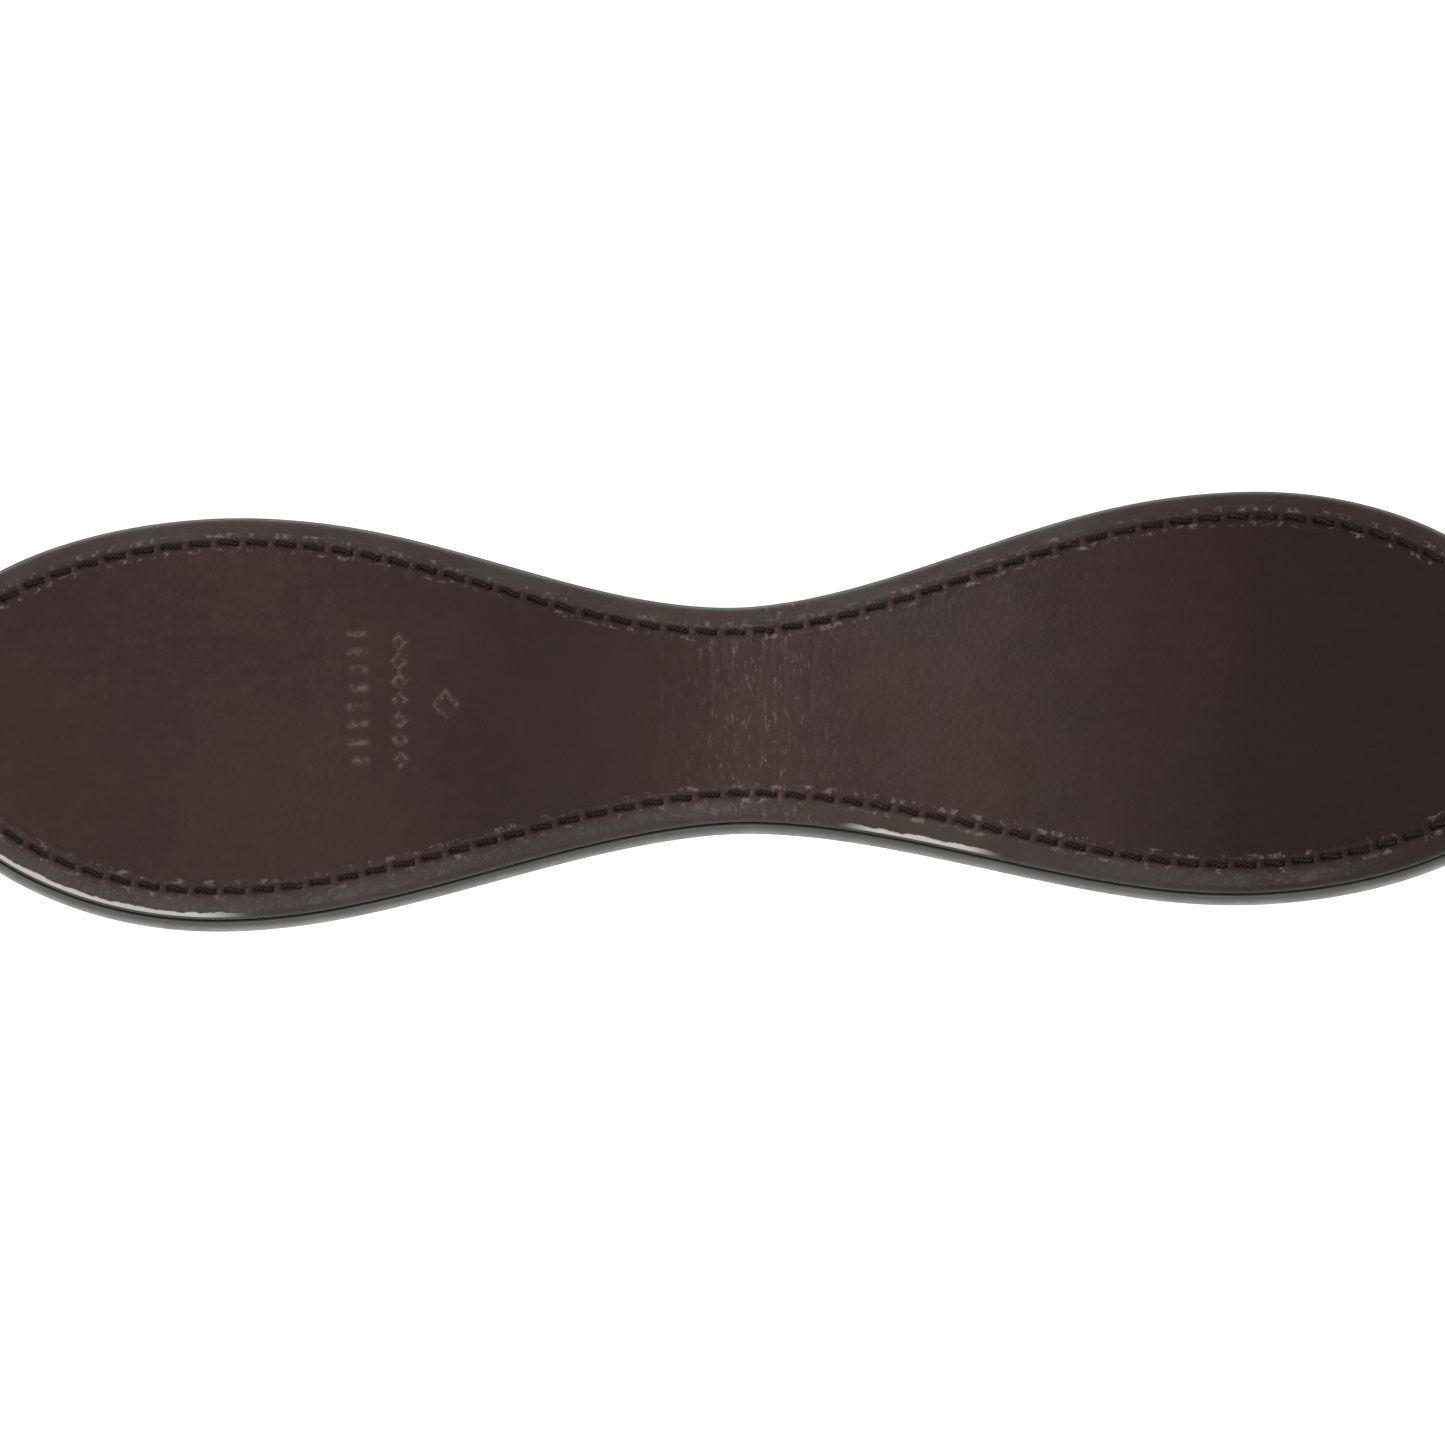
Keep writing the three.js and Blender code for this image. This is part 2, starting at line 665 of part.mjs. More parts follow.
function addLeg(name, side) {
  const leg = new THREE.Group();
  leg.position.set(side * LEG_X, 0, PIN_HEIGHT);
  leg.rotation.z = side > 0 ? 0 : Math.PI;
  rest.add(leg);

  addPiece(rest, "saddle_" + name, saddle(side), materials.saddle);
  SCREW_PLACES.forEach((x, i) => {
    const place = name + (i ? "_inner" : "_outer");
    const worldX = side * (LEG_X + x);
    addPiece(rest, "threaded_insert_" + place, threadedInsert(worldX), materials.brass);
    const washer = clampWasher().translate(x, 0, 0);
    addPiece(leg, "clamp_washer_" + place, washer, materials.steel);
    const screw = clampScrew(x, side).translate(x, 0, 0);
    addPiece(leg, "clamp_screw_" + place, screw, materials.steel);
  });
  addPiece(leg, "bracket_" + name, bracket(), materials.blackSteel);
  addPiece(leg, "hinge_pin_" + name, hingePin(), materials.steel);
  addPiece(leg, "yoke_" + name, yoke(), materials.blackSteel);
  addPiece(leg, "height_wheel_" + name, heightWheel(), materials.brass);
  addPiece(leg, "leg_screw_" + name, legScrew(), materials.steel);
  addPiece(leg, "cap_nut_" + name, capNut(), materials.steel);
  addPiece(leg, "fork_" + name, fork(), materials.steel);
  for (const prongSide of [-1, 1]) {
    const end = prongSide * side < 0 ? "_front" : "_rear";
    addPiece(leg, "grip_" + name + end, gripSleeve(prongSide), materials.rubber);
  }
}

addPlate();
addLeg("left", -1);
addLeg("right", 1);

export default rest;
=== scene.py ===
"""Looks of a leather-bound violin shoulder rest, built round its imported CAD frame.

Lengths are millimetres in the row frame: X along the plate, Y across it, Z up from the claws'
tips. Meshes are turned into metres when their objects are made. Pieces of a leg are made in the
leg's own frame, whose origin is its hinge pin and whose X points outwards along the plate.
"""
import json
import math

import bmesh
import bpy
import numpy as np
from mathutils import Matrix, Vector


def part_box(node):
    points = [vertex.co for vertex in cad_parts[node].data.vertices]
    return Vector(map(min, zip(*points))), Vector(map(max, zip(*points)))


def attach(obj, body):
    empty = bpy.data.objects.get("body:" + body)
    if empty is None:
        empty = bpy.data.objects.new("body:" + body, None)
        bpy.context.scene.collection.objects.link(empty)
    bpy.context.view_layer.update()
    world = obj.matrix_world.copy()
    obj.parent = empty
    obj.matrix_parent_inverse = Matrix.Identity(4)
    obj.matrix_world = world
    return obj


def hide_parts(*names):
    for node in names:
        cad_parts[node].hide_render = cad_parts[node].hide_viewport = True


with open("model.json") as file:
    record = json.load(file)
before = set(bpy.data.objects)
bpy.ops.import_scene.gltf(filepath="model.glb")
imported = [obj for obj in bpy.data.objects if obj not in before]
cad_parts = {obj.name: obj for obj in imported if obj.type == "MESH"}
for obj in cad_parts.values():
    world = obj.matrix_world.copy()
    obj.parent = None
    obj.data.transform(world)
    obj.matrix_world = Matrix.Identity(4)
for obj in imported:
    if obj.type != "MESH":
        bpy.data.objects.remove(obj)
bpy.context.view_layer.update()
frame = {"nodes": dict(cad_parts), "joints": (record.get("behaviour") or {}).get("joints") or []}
scene = bpy.context.scene
MM = 0.001

# ---- dimensions

# the plate's outline and bend, as the CAD model has them
TIP_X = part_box("edge_binding")[1].x / MM
LOBE_HALF_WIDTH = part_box("edge_binding")[1].y / MM
LOBE_CENTRE = 69.3
LOBE_LENGTH = TIP_X - LOBE_CENTRE
WAIST_HALF_WIDTH = 15.7
WAIST_FULLNESS = 0.9
PLATE_HEIGHT = 68.2
WAIST_DIP = 5.2
WAIST_REACH = 55
CURL_START = 72
CURL = 0.005
LEAN = 0.028

# the plate's layers: heights above the top of its edge binding, and insets from its outline
FACE_INSET = 0.8
SEAM_TOP = 2.85
SEAM_INSET = 4.4
PAD_INSET = 8.4
PAD_BOTTOM, PAD_TOP = -0.6, 0.9
BINDING_WIDTH = 7
BINDING_BOTTOM = -3.6
BACK_INSET = 0.4
BACK_TOP, BACK_BOTTOM = -3.9, -5.4
GAP = 0.3
PLY_LINE = -1.9
CROWN_INSET, WAVES_INSET = 5.6, 5.1
CREASE_X, CREASE_SPREAD = 3.0, 9.0

# along the seam and away from it
STITCH_PITCH, STITCH_GAP = 3.9, 1.6
# the second is where painted highlights fleck the seam's lips
LIP_OFF, GLINT_OFF = 1.1, 1.05

# legs, in their own frames
SIDES = {"left": -1, "right": 1}
JOINTS = {joint["name"]: joint for joint in frame["joints"]}
LEG_X = JOINTS["fold_right"]["pos_m"][0] / MM
PIN_HEIGHT = JOINTS["fold_right"]["pos_m"][2] / MM
SCREW_PLACES = {"outer": -17, "inner": -35}
SCREW_RADIUS = 1.5
WIDTH_TRAVEL = JOINTS["width_right"]["range_m"][1] / MM
EAR_INNER, EAR_THICKNESS, EAR_RADIUS, EAR_FOOT = 5.2, 2, 4.5, 8.5
PIN_RADIUS = 1.5
LUG_HALF_WIDTH = 4.7
FRAME_TOP = -6
WINDOW_TOP, WINDOW_BOTTOM, WINDOW_WIDTH = -10, -15.2, 15.8
STEM_RADIUS, JOURNAL_RADIUS = 2.5, 2
STEM_SHOULDER = -19
THREAD_PITCH = 1.5
HUB_RADIUS, HUB_TOP, HUB_BOTTOM = 5.5, -19.5, -26.5
PRONG_RADIUS, PRONG_Y = 1.5, 12.5
ARM_END_X, LEDGE_Z = 11.5, -29.7
ARM_KNOTS = [(2.6, 3.4, -21.5), (6.5, 6, -22.6), (9, 9.4, -26.2), (10.5, 12.1, -29.1)]
ARM_STEPS = 8
CLAW_X, CLAW_BEND, CLAW_DROP, CLAW_TIP = 18.5, 3.5, 13, 13.4
SLEEVE_RADIUS, SLEEVE_CORNER, SLEEVE_TIP = 3.3, 1.2, 11.6


def leg_box(node):
    """A right-hand leg node's lowest and highest corners in the leg's frame."""
    pin = Vector((LEG_X, 0, PIN_HEIGHT))
    return [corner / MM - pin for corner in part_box(node)]


# ---- the plate's shape


def half_width(x):
    inward = LOBE_CENTRE - np.abs(x)
    tip = LOBE_HALF_WIDTH * np.sqrt(np.clip(1 - (inward / LOBE_LENGTH) ** 2, 0, 1))
    swell = np.cos(math.pi * np.clip(inward, 0, None) / (2 * LOBE_CENTRE)) ** 2
    waist = WAIST_HALF_WIDTH + (LOBE_HALF_WIDTH - WAIST_HALF_WIDTH) * swell**WAIST_FULLNESS
    return np.where(inward < 0, tip, waist)


def bend(x):
    reach = np.minimum(np.abs(x) / WAIST_REACH, 1)
    beyond = np.maximum(np.abs(x) - CURL_START, 0)
    dip = -WAIST_DIP * (1 + np.cos(math.pi * reach)) / 2
    return dip - np.sign(x) * CURL * beyond**2 + LEAN * x


def level(height):
    """A level of the bent plate, as a function of x."""
    return lambda x: PLATE_HEIGHT + bend(x) + height


class Outline:
    """A ring of columns round a shape that mirrors in y, anticlockwise from its right end."""

    def __init__(self, far_x, far_y, half_columns):
        run = np.concatenate([[0], np.cumsum(np.hypot(np.diff(far_x), np.diff(far_y)))])
        even = np.linspace(0, run[-1], half_columns + 1)
        x, y = np.interp(even, run, far_x), np.interp(even, run, far_y)
        slope_x, slope_y = np.gradient(x), np.gradient(y)
        slope_x[[0, -1]], slope_y[[0, -1]] = 0, (1, -1)
        length = np.hypot(slope_x, slope_y)
        normal_x, normal_y = -slope_y / length, slope_x / length
        self.x, self.normal_x = (np.concatenate([v[::-1], v[1:-1]]) for v in (x, normal_x))
        self.y, self.normal_y = (np.concatenate([v[::-1], -v[1:-1]]) for v in (y, normal_y))
        self.half = half_columns
        self.count = 2 * half_columns

    def inset(self, distance):
        return self.x - distance * self.normal_x, self.y - distance * self.normal_y

    def run(self, distance):
        """Length along the ring at an inset, from the right end, and the whole length."""
        x, y = self.inset(distance)
        step = np.hypot(np.roll(x, -1) - x, np.roll(y, -1) - y)
        return np.concatenate([[0], np.cumsum(step)[:-1]]), step.sum()


def plate_outline(half_columns):
    turn = np.linspace(math.pi, math.pi / 2, 4000)
    left_x = -LOBE_CENTRE + LOBE_LENGTH * np.cos(turn)
    left_y = LOBE_HALF_WIDTH * np.sin(turn)
    middle_x = np.linspace(-LOBE_CENTRE, LOBE_CENTRE, 8001)[1:-1]
    x = np.concatenate([left_x, middle_x, -left_x[::-1]])
    y = np.concatenate([left_y, half_width(middle_x), left_y[::-1]])
    return Outline(x, y, half_columns)


def rounded_outline(x0, x1, half_y, corner, half_columns):
    turn = np.linspace(0, math.pi / 2, 60)
    x = np.concatenate([[x0], x0 + corner - corner * np.cos(turn)])
    y = np.concatenate([[0], half_y - corner + corner * np.sin(turn)])
    x = np.concatenate([x, (x0 + x1 - x)[::-1]])
    return Outline(x, np.concatenate([y, y[::-1]]), half_columns)


OUTLINE = plate_outline(1000)
SEAM_RUN, SEAM_LENGTH = OUTLINE.run(SEAM_INSET)
STITCHES = round(SEAM_LENGTH / STITCH_PITCH)

# ---- mesh tools


def new_object(vertices, faces, attributes={}):
    """A smooth-shaded object from vertices in millimetres, with its faces turned outwards."""
    mesh = bpy.data.meshes.new("piece")
    mesh.from_pydata((np.asarray(vertices, float) * MM).tolist(), [], faces)
    for key, values in attributes.items():
        layer = mesh.attributes.new(key, "FLOAT", "POINT")
        layer.data.foreach_set("value", np.asarray(values, np.float32))
    shape = bmesh.new()
    shape.from_mesh(mesh)
    bmesh.ops.recalc_face_normals(shape, faces=shape.faces)
    shape.to_mesh(mesh)
    shape.free()
    mesh.polygons.foreach_set("use_smooth", [True] * len(mesh.polygons))
    made = bpy.data.objects.new("piece", mesh)
    scene.collection.objects.link(made)
    return made


def sharpen(made, degrees=35):
    """Marks the edges steeper than an angle as sharp, so that flats stay flat."""
    shape = bmesh.new()
    shape.from_mesh(made.data)
    limit = math.radians(degrees)
    for edge in shape.edges:
        edge.smooth = len(edge.link_faces) == 2 and edge.calc_face_angle(0) < limit
    shape.to_mesh(made.data)
    shape.free()
    return made


def apply_modifiers(made):
    graph = bpy.context.evaluated_depsgraph_get()
    mesh = bpy.data.meshes.new_from_object(made.evaluated_get(graph))
    made.modifiers.clear()
    made.data = mesh
    return made


def combine(operation, base, *tools):
    """Joins tools to a piece (UNION) or cuts them from it (DIFFERENCE), and removes them."""
    for tool in tools:
        modifier = base.modifiers.new(operation, "BOOLEAN")
        modifier.operation = operation
        modifier.solver = "EXACT"
        modifier.object = tool
    apply_modifiers(base)
    for tool in tools:
        bpy.data.objects.remove(tool)
    return base


def bevel(made, width, segments=3):
    """Rounds a hard piece's edges and keeps its flats flat under smooth shading."""
    modifier = made.modifiers.new("bevel", "BEVEL")
    modifier.width = width * MM
    modifier.segments = segments
    modifier.limit_method = "ANGLE"
    modifier.angle_limit = math.radians(32)
    modifier.use_clamp_overlap = True
    normals = made.modifiers.new("normals", "WEIGHTED_NORMAL")
    normals.keep_sharp = True
    apply_modifiers(made)
    made.data.polygons.foreach_set("use_smooth", [True] * len(made.data.polygons))
    return made


def arc(centre_u, centre_v, radius, start, end, steps=16):
    """Points of an arc; its angles are degrees."""
    angles = np.radians(np.linspace(start, end, steps + 1))
    return [(centre_u + radius * math.cos(a), centre_v + radius * math.sin(a)) for a in angles]


def rounded_rectangle(u0, u1, v0, v1, radius):
    u0, u1, v0, v1 = u0 + radius, u1 - radius, v0 + radius, v1 - radius
    points = []
    for u, v, start in ((u1, v0, -90), (u1, v1, 0), (u0, v1, 90), (u0, v0, 180)):
        points += arc(u, v, radius, start, start + 90, 12)
    return points


def prism(outline, low, high, axis="Z"):
    """An outline extruded along an axis, from low to high."""
    order = {"X": (2, 0, 1), "Y": (0, 2, 1), "Z": (0, 1, 2)}[axis]
    count = len(outline)
    vertices = [[(u, v, w)[i] for i in order] for w in (low, high) for u, v in outline]
    faces = [tuple(range(count)), tuple(range(2 * count - 1, count - 1, -1))]
    faces += [(k, k + count, (k + 1) % count + count, (k + 1) % count) for k in range(count)]
    return new_object(vertices, faces)


def disc(centre_u, centre_v, radius, steps=48):
    return arc(centre_u, centre_v, radius, 0, 360, steps)[:-1]


def path_frames(path):
    """Each path point's tangent and two normals, carried along without twisting."""
    tangents = np.gradient(path, axis=0)
    tangents /= np.linalg.norm(tangents, axis=1)[:, None]
    aside = np.array([0.0, 1.0, 0.0]) if abs(tangents[0][1]) < 0.9 else np.array([0.0, 0.0, 1.0])
    normals = np.zeros_like(path)
    for i, tangent in enumerate(tangents):
        aside = aside - tangent * aside.dot(tangent)
        aside /= np.linalg.norm(aside)
        normals[i] = aside
    return tangents, normals, np.cross(tangents, normals)


def spokes(angles, crosses, normals):
    """Unit steps away from a path, at angles about it."""
    return np.cos(angles)[:, None] * crosses + np.sin(angles)[:, None] * normals


def band(low, high, count, low_ring=True, high_ring=True):
    """The faces between two rings of points, either of which may be a single point."""
    faces = []
    for k in range(count):
        after = (k + 1) % count
        corners = [low + k * low_ring, low + after * low_ring]
        corners += [high + after * high_ring, high + k * high_ring]
        faces.append(tuple(dict.fromkeys(corners)))
    return faces


def turn(rows, path=None, sides=64, reshape=None, closed=False):
    """A turned piece: rows of (radius, distance) along a path, which is the Z axis unless given.

    reshape(radius, distance, angles) gives each row's radii, as a knurl or a thread needs. A row
    of no radius is one point; a closed piece joins its last row to its first.
    """
    if path is None:
        low, high = min(row[1] for row in rows) - 1, max(row[1] for row in rows) + 1
        path = np.array([[0, 0, low], [0, 0, high]], float)
        run = np.array([low, high])
    else:
        step = np.linalg.norm(np.diff(path, axis=0), axis=1)
        run = np.concatenate([[0], np.cumsum(step)])
    tangents, normals, crosses = path_frames(path)
    angles = 2 * math.pi * np.arange(sides) / sides
    vertices, faces, starts = [], [], []
    for radius, distance in rows:
        centre, normal, cross = (
            np.array([np.interp(distance, run, axis) for axis in line.T])
            for line in (path, normals, crosses)
        )
        past = distance - min(max(distance, run[0]), run[-1])
        centre += past * (tangents[0] if past < 0 else tangents[-1])
        starts.append((len(vertices), radius > 0))
        if radius <= 0:
            vertices.append(centre)
            continue
        radii = reshape(radius, distance, angles) if reshape else np.full(sides, radius)
        vertices.extend(centre + radii[:, None] * spokes(angles, cross, normal))
    pairs = list(zip(starts[:-1], starts[1:]))
    if closed:
        pairs.append((starts[-1], starts[0]))
    for (low, low_ring), (high, high_ring) in pairs:
        faces += band(low, high, sides, low_ring, high_ring)
    return new_object(vertices, faces)


class Layer:
    """A layer of the plate: rings of (inset, height) round its edge, with faces filled across.

    A height is a number above the top of the edge binding, or a level as a function of x.
    """

    def __init__(self, rings, outline):
        self.outline = outline
        self.inset = []
        self.points = []
        for distance, height in rings:
            x, y = outline.inset(distance)
            z = height(x) if callable(height) else level(height)(x)
            self.points.append(np.stack([x, y, z], 1))
            self.inset.append(np.full(outline.count, float(distance)))
        self.rows = len(rings)

    def ring_faces(self, closed=False):
        faces, count = [], self.outline.count
        for row in range(self.rows if closed else self.rows - 1):
            faces += band(row * count, (row + 1) % self.rows * count, count)
        return faces

    def fill(self, row, strips):
        """Fills a ring with rows of points from its far side across to its near side."""
        count, half = self.outline.count, self.outline.half
        ring = self.points[row]
        far = np.arange(half + 1)
        near = (count - far) % count
        grid = [row * count + far]
        start = sum(len(p) for p in self.points)
        for i in range(1, strips):
            t = i / strips
            self.points.append(ring[far[1:-1]] * (1 - t) + ring[near[1:-1]] * t)
            reach = np.abs(ring[far[1:-1], 1]) * (1 - abs(1 - 2 * t))
            self.inset.append(self.inset[row][0] + reach)
            ids = start + np.arange(half - 1)
            start += half - 1
            grid.append(np.concatenate([[row * count], ids, [row * count + half]]))
        grid.append(row * count + near)
        faces = []
        for upper, lower in zip(grid[:-1], grid[1:]):
            for k in range(half):
                corners = (upper[k], upper[k + 1], lower[k + 1], lower[k])
                faces.append(tuple(dict.fromkeys(int(v) for v in corners)))
        return faces

    def build(self, faces, shape=None):
        points, inset = np.concatenate(self.points), np.concatenate(self.inset)
        return new_object(points, faces, shape(points, inset) if shape else {})


def plate_layer(rings, strips, shape=None, outline=OUTLINE):
    """A solid layer, filled below and above.

    shape(points, inset) moves its points in place and gives its attributes.
    """
    layer = Layer(rings, outline)
    faces = layer.ring_faces() + layer.fill(0, strips[0]) + layer.fill(layer.rows - 1, strips[1])
    return layer.build(faces, shape)


def plate_ring(rings, shape):
    """A hollow ring round the plate, whose last ring of points joins its first."""
    layer = Layer(rings, OUTLINE)
    return layer.build(layer.ring_faces(closed=True), shape)


# ---- leather and its seam


def hump(distance, width):
    return np.exp(-((distance / width) ** 2))


def seam_position(x, y):
    """Each point's place along the seam, in stitches, from its nearest seam column."""
    seam_x, seam_y = OUTLINE.inset(SEAM_INSET)
    place = np.zeros(len(x))
    for first in range(0, len(x), 4000):
        part = slice(first, first + 4000)
        gap = (x[part, None] - seam_x) ** 2 + (y[part, None] - seam_y) ** 2
        place[part] = SEAM_RUN[gap.argmin(1)]
    return place / SEAM_LENGTH * STITCHES


def stitch_relief(x, y, inset):
    """The seam's sewn valley, its needle holes, and the lips raised beside them."""
    near = np.abs(inset - SEAM_INSET) < 3
    place = seam_position(x[near], y[near])
    off = inset[near] - SEAM_INSET
    hole = np.abs(place - np.round(place)) * STITCH_PITCH
    uneven = np.random.default_rng(31).uniform(0.3, 1.5, (2, STITCHES + 1))
    inner, outer = uneven[:, np.round(place).astype(int) % STITCHES]
    valley = -0.22 * hump(off, 0.7) * (1 - 0.75 * hump(hole, 0.6))
    dent = -0.4 * hump(off, 0.42) * hump(hole - STITCH_GAP / 2, 0.3)
    lips = 0.17 * (inner * hump(off - LIP_OFF, 0.42) + outer * hump(off + LIP_OFF, 0.42))
    lips *= 0.3 + 0.7 * hump(hole, 1)
    height = np.zeros(len(x))
    height[near] = valley + dent + lips
    return height


def creases(x, y, rng):
    """Fine creases across the waist, where the plate has been bent."""
    height = np.zeros(len(x))
    for _ in range(34):
        place = CREASE_X + rng.normal(0, CREASE_SPREAD * 0.6)
        drift, sway = rng.normal(0, 0.5), rng.uniform(0.2, 0.6)
        wave, phase = rng.uniform(2.5, 6), rng.uniform(0, 2 * math.pi)
        centre_y, reach = rng.uniform(-13, 13), rng.uniform(3, 10)
        depth, width = rng.uniform(0.03, 0.075), rng.uniform(0.25, 0.4)
        line = place + drift * y / 15 + sway * np.sin(y / wave + phase)
        height -= depth * hump(x - line, width) * hump(y - centre_y, reach)
    return height


def unevenness(x, y, rng):
    """Slow waves in the leather, which break up its sheen."""
    height = np.zeros(len(x))
    for _ in range(16):
        angle, phase = rng.uniform(0, math.pi), rng.uniform(0, 2 * math.pi)
        wave = rng.uniform(7, 30)
        along = x * math.cos(angle) + y * math.sin(angle)
        height += wave / 30 * 0.035 * np.sin(2 * math.pi * along / wave + phase)
    return height


def stamp(x, y):
    """A plain blind stamp in the left lobe: a row of dashes, a row of lozenges and a big one."""
    mask = np.zeros(len(x))
    for i in range(8):
        dash = np.hypot(np.maximum(np.abs(x + 51.6) - 1.0, 0), y - 11 + 2.55 * i)
        mask = np.maximum(mask, hump(dash, 0.42))
    for i in range(7):
        small = np.abs(x + 45.9) + np.abs(y - 9.8 + 2.75 * i)
        mask = np.maximum(mask, hump(small - 0.9, 0.36))
    large = np.abs(x + 39.6) * 0.9 + np.abs(y - 1.0) * 0.75
    return np.maximum(mask, hump(large - 1.3, 0.36))


def shape_face(points, inset):
    """Crowns the face leather over its pad and adds its seam, creases, waves and stamp."""
    rng = np.random.default_rng(7)
    x, y, z = points.T
    top = z > level(1.2)(x)
    reach = np.clip((inset - CROWN_INSET) / np.maximum(half_width(x) - CROWN_INSET, 1), 0, 1)
    mark = stamp(x, y) * (inset > 6)
    height = 0.45 * np.sin(reach * math.pi / 2) ** 0.8 + stitch_relief(x, y, inset)
    height += creases(x, y, rng) * np.clip(inset - FACE_INSET, 0, 1)
    height += unevenness(x, y, rng) * np.clip((inset - WAVES_INSET) / 4, 0, 1)
    height -= 0.14 * mark
    points[:, 2] += np.where(top, height, 0)
    # bent marks the waist, where the finish lightens the leather with painted sheen
    return {"stamp": mark * top, "edge": inset, "bent": hump(x - CREASE_X, CREASE_SPREAD)}


def face_leather():
    under = [(8, 1.1), (8, GAP), (1.2, GAP), (0.95, 0.45), (FACE_INSET, 0.9), (FACE_INSET, 1.3)]
    arris = [(0.84, 1.5), (0.92, 1.68), (1.05, 1.86), (1.22, 2.02), (1.45, 2.2)]
    rim = []
    for d in np.arange(1.7, 3.6, 0.2):
        rim.append((d, 2.2 + 0.65 * math.sin((d - 1.45) / 2.2 * math.pi / 2)))
    seam = [(d, SEAM_TOP) for d in np.arange(3.65, 5.35, 0.13)]
    inner = [(d, SEAM_TOP + 0.04 * (d - 5.3)) for d in (5.45, 5.65, 5.95, 6.3, 6.7, 7.2, 7.9)]
    return plate_layer(under + arris + rim + seam + inner, (8, 110), shape_face)


def face_pad():
    """Thin foam with rounded edges, crowned a little under the leather."""
    middle, half = (PAD_BOTTOM + PAD_TOP) / 2, (PAD_TOP - PAD_BOTTOM) / 2
    rings = []
    for a in np.radians(np.linspace(-90, 90, 9)):
        rings.append((PAD_INSET + 0.7 * (1 - math.cos(a)), middle + half * math.sin(a)))

    def crown(points, inset):
        rng = np.random.default_rng(11)
        x, y, z = points.T
        swell = 0.2 * np.clip((inset - PAD_INSET) / 12, 0, 1) + 0.4 * unevenness(x, y, rng)
        points[:, 2] += np.where(z > level(PAD_TOP - 0.1)(x), swell, 0)
        return {}

    return plate_layer(rings, (6, 40), crown, plate_outline(300))


def edge_binding():
    """The thick painted edge: a bullnose with a slight crown, waved by hand finishing."""
    nose = 1.1
    middle, half = BINDING_BOTTOM / 2, -BINDING_BOTTOM / 2
    side = []
    for a in np.radians(np.linspace(-90, 90, 19)):
        height = half * math.copysign(abs(math.sin(a)) ** 0.75, a)
        side.append((nose * (1 - abs(math.cos(a)) ** 0.6), middle + height))
    rings = [(BINDING_WIDTH, BINDING_BOTTOM)] + side + [(2.4, 0), (BINDING_WIDTH, 0)]

    def wave(points, inset):
        rng = np.random.default_rng(3)
        x, y, z = points.T
        angle = np.arctan2(y * 2, x)
        ripple = sum(
            rng.uniform(0.01, 0.03) * np.sin(n * angle + rng.uniform(0, 6)) for n in range(9, 60, 4)
        )
        points[:, 1] *= np.where(inset < nose, 1 - np.maximum(ripple, 0) * 0.004, 1)
        return {"edge": inset, "height": z - level(0)(x)}

    return plate_ring(rings, wave)


def back_leather():
    """Suede on the violin side, with the seam sewn into it."""

    def relief(points, inset):
        rng = np.random.default_rng(19)
        x, y, z = points.T
        under = z < level(BACK_BOTTOM + 0.2)(x)
        waves = unevenness(x, y, rng) * np.clip((inset - WAVES_INSET) / 3, 0, 1)
        depth = stitch_relief(x, y, inset) + waves
        points[:, 2] -= np.where(under, depth, 0)
        return {"edge": inset}

    inner = [(d, BACK_BOTTOM) for d in (7.5, 6.9, 6.4, 6.0, 5.7, 5.45)]
    seam = [(d, BACK_BOTTOM) for d in np.arange(5.3, 3.6, -0.13)]
    rim = [(d, BACK_BOTTOM) for d in (3.4, 3.1, 2.7, 2.3, 1.9)]
    side = [(1.5, -5.37), (1.15, -5.28), (0.85, -5.1), (0.62, -4.85), (0.48, -4.6)]
    side.append((BACK_INSET, -4.3))
    top = [(BACK_INSET, -4.05), (0.55, BACK_TOP), (3, BACK_TOP)]
    return plate_layer(inner + seam + rim + side + top, (70, 4), relief)


def seam_stitches(facing, base):
    """Two-ply stitches along the seam; facing is 1 on the face and -1 on the back."""
    ring_x, ring_y = OUTLINE.inset(SEAM_INSET)
    strand, lay, sides, steps = 0.19, 0.15, 7, 18
    gap = STITCH_GAP / STITCH_PITCH
    t = np.linspace(0, 1, steps)
    rise = np.sin(math.pi * t) ** 0.45
    angles = 2 * math.pi * np.arange(sides) / sides
    vertices, faces = [], []
    rng = np.random.default_rng(23)
    for place in range(STITCHES):
        slant, lift, phase = rng.normal(0.16, 0.04), rng.normal(0, 0.02), rng.uniform(0, 6)
        along = (place + gap / 2 + (1 - gap) * t) * SEAM_LENGTH / STITCHES
        aside = slant * (t - 0.5) * 2
        columns = (ring_x, ring_y, OUTLINE.normal_x, OUTLINE.normal_y)
        x, y, out_x, out_y = (np.interp(along, SEAM_RUN, c, period=SEAM_LENGTH) for c in columns)
        x, y = x + aside * out_x, y + aside * out_y
        z = level(base)(x) + facing * (lift - 0.62 + 0.62 * rise)
        path = np.stack([x, y, z], 1)
        _, normals, crosses = path_frames(path)
        for ply in (0, math.pi):
            twist = phase + ply + t * 2 * math.pi * 2.2
            core = path + lay * spokes(twist, crosses, normals)
            start = len(vertices)
            for i in range(steps):
                size = strand * (0.45 if i in (0, steps - 1) else 1)
                vertices.extend(core[i] + size * spokes(angles, crosses[i], normals[i]))
            for low in range(start, start + (steps - 1) * sides, sides):
                faces += band(low, low + sides, sides)
            faces.append(tuple(range(start + sides - 1, start - 1, -1)))
            faces.append(tuple(range(len(vertices) - sides, len(vertices))))
    return new_object(vertices, faces)


# ---- hardware


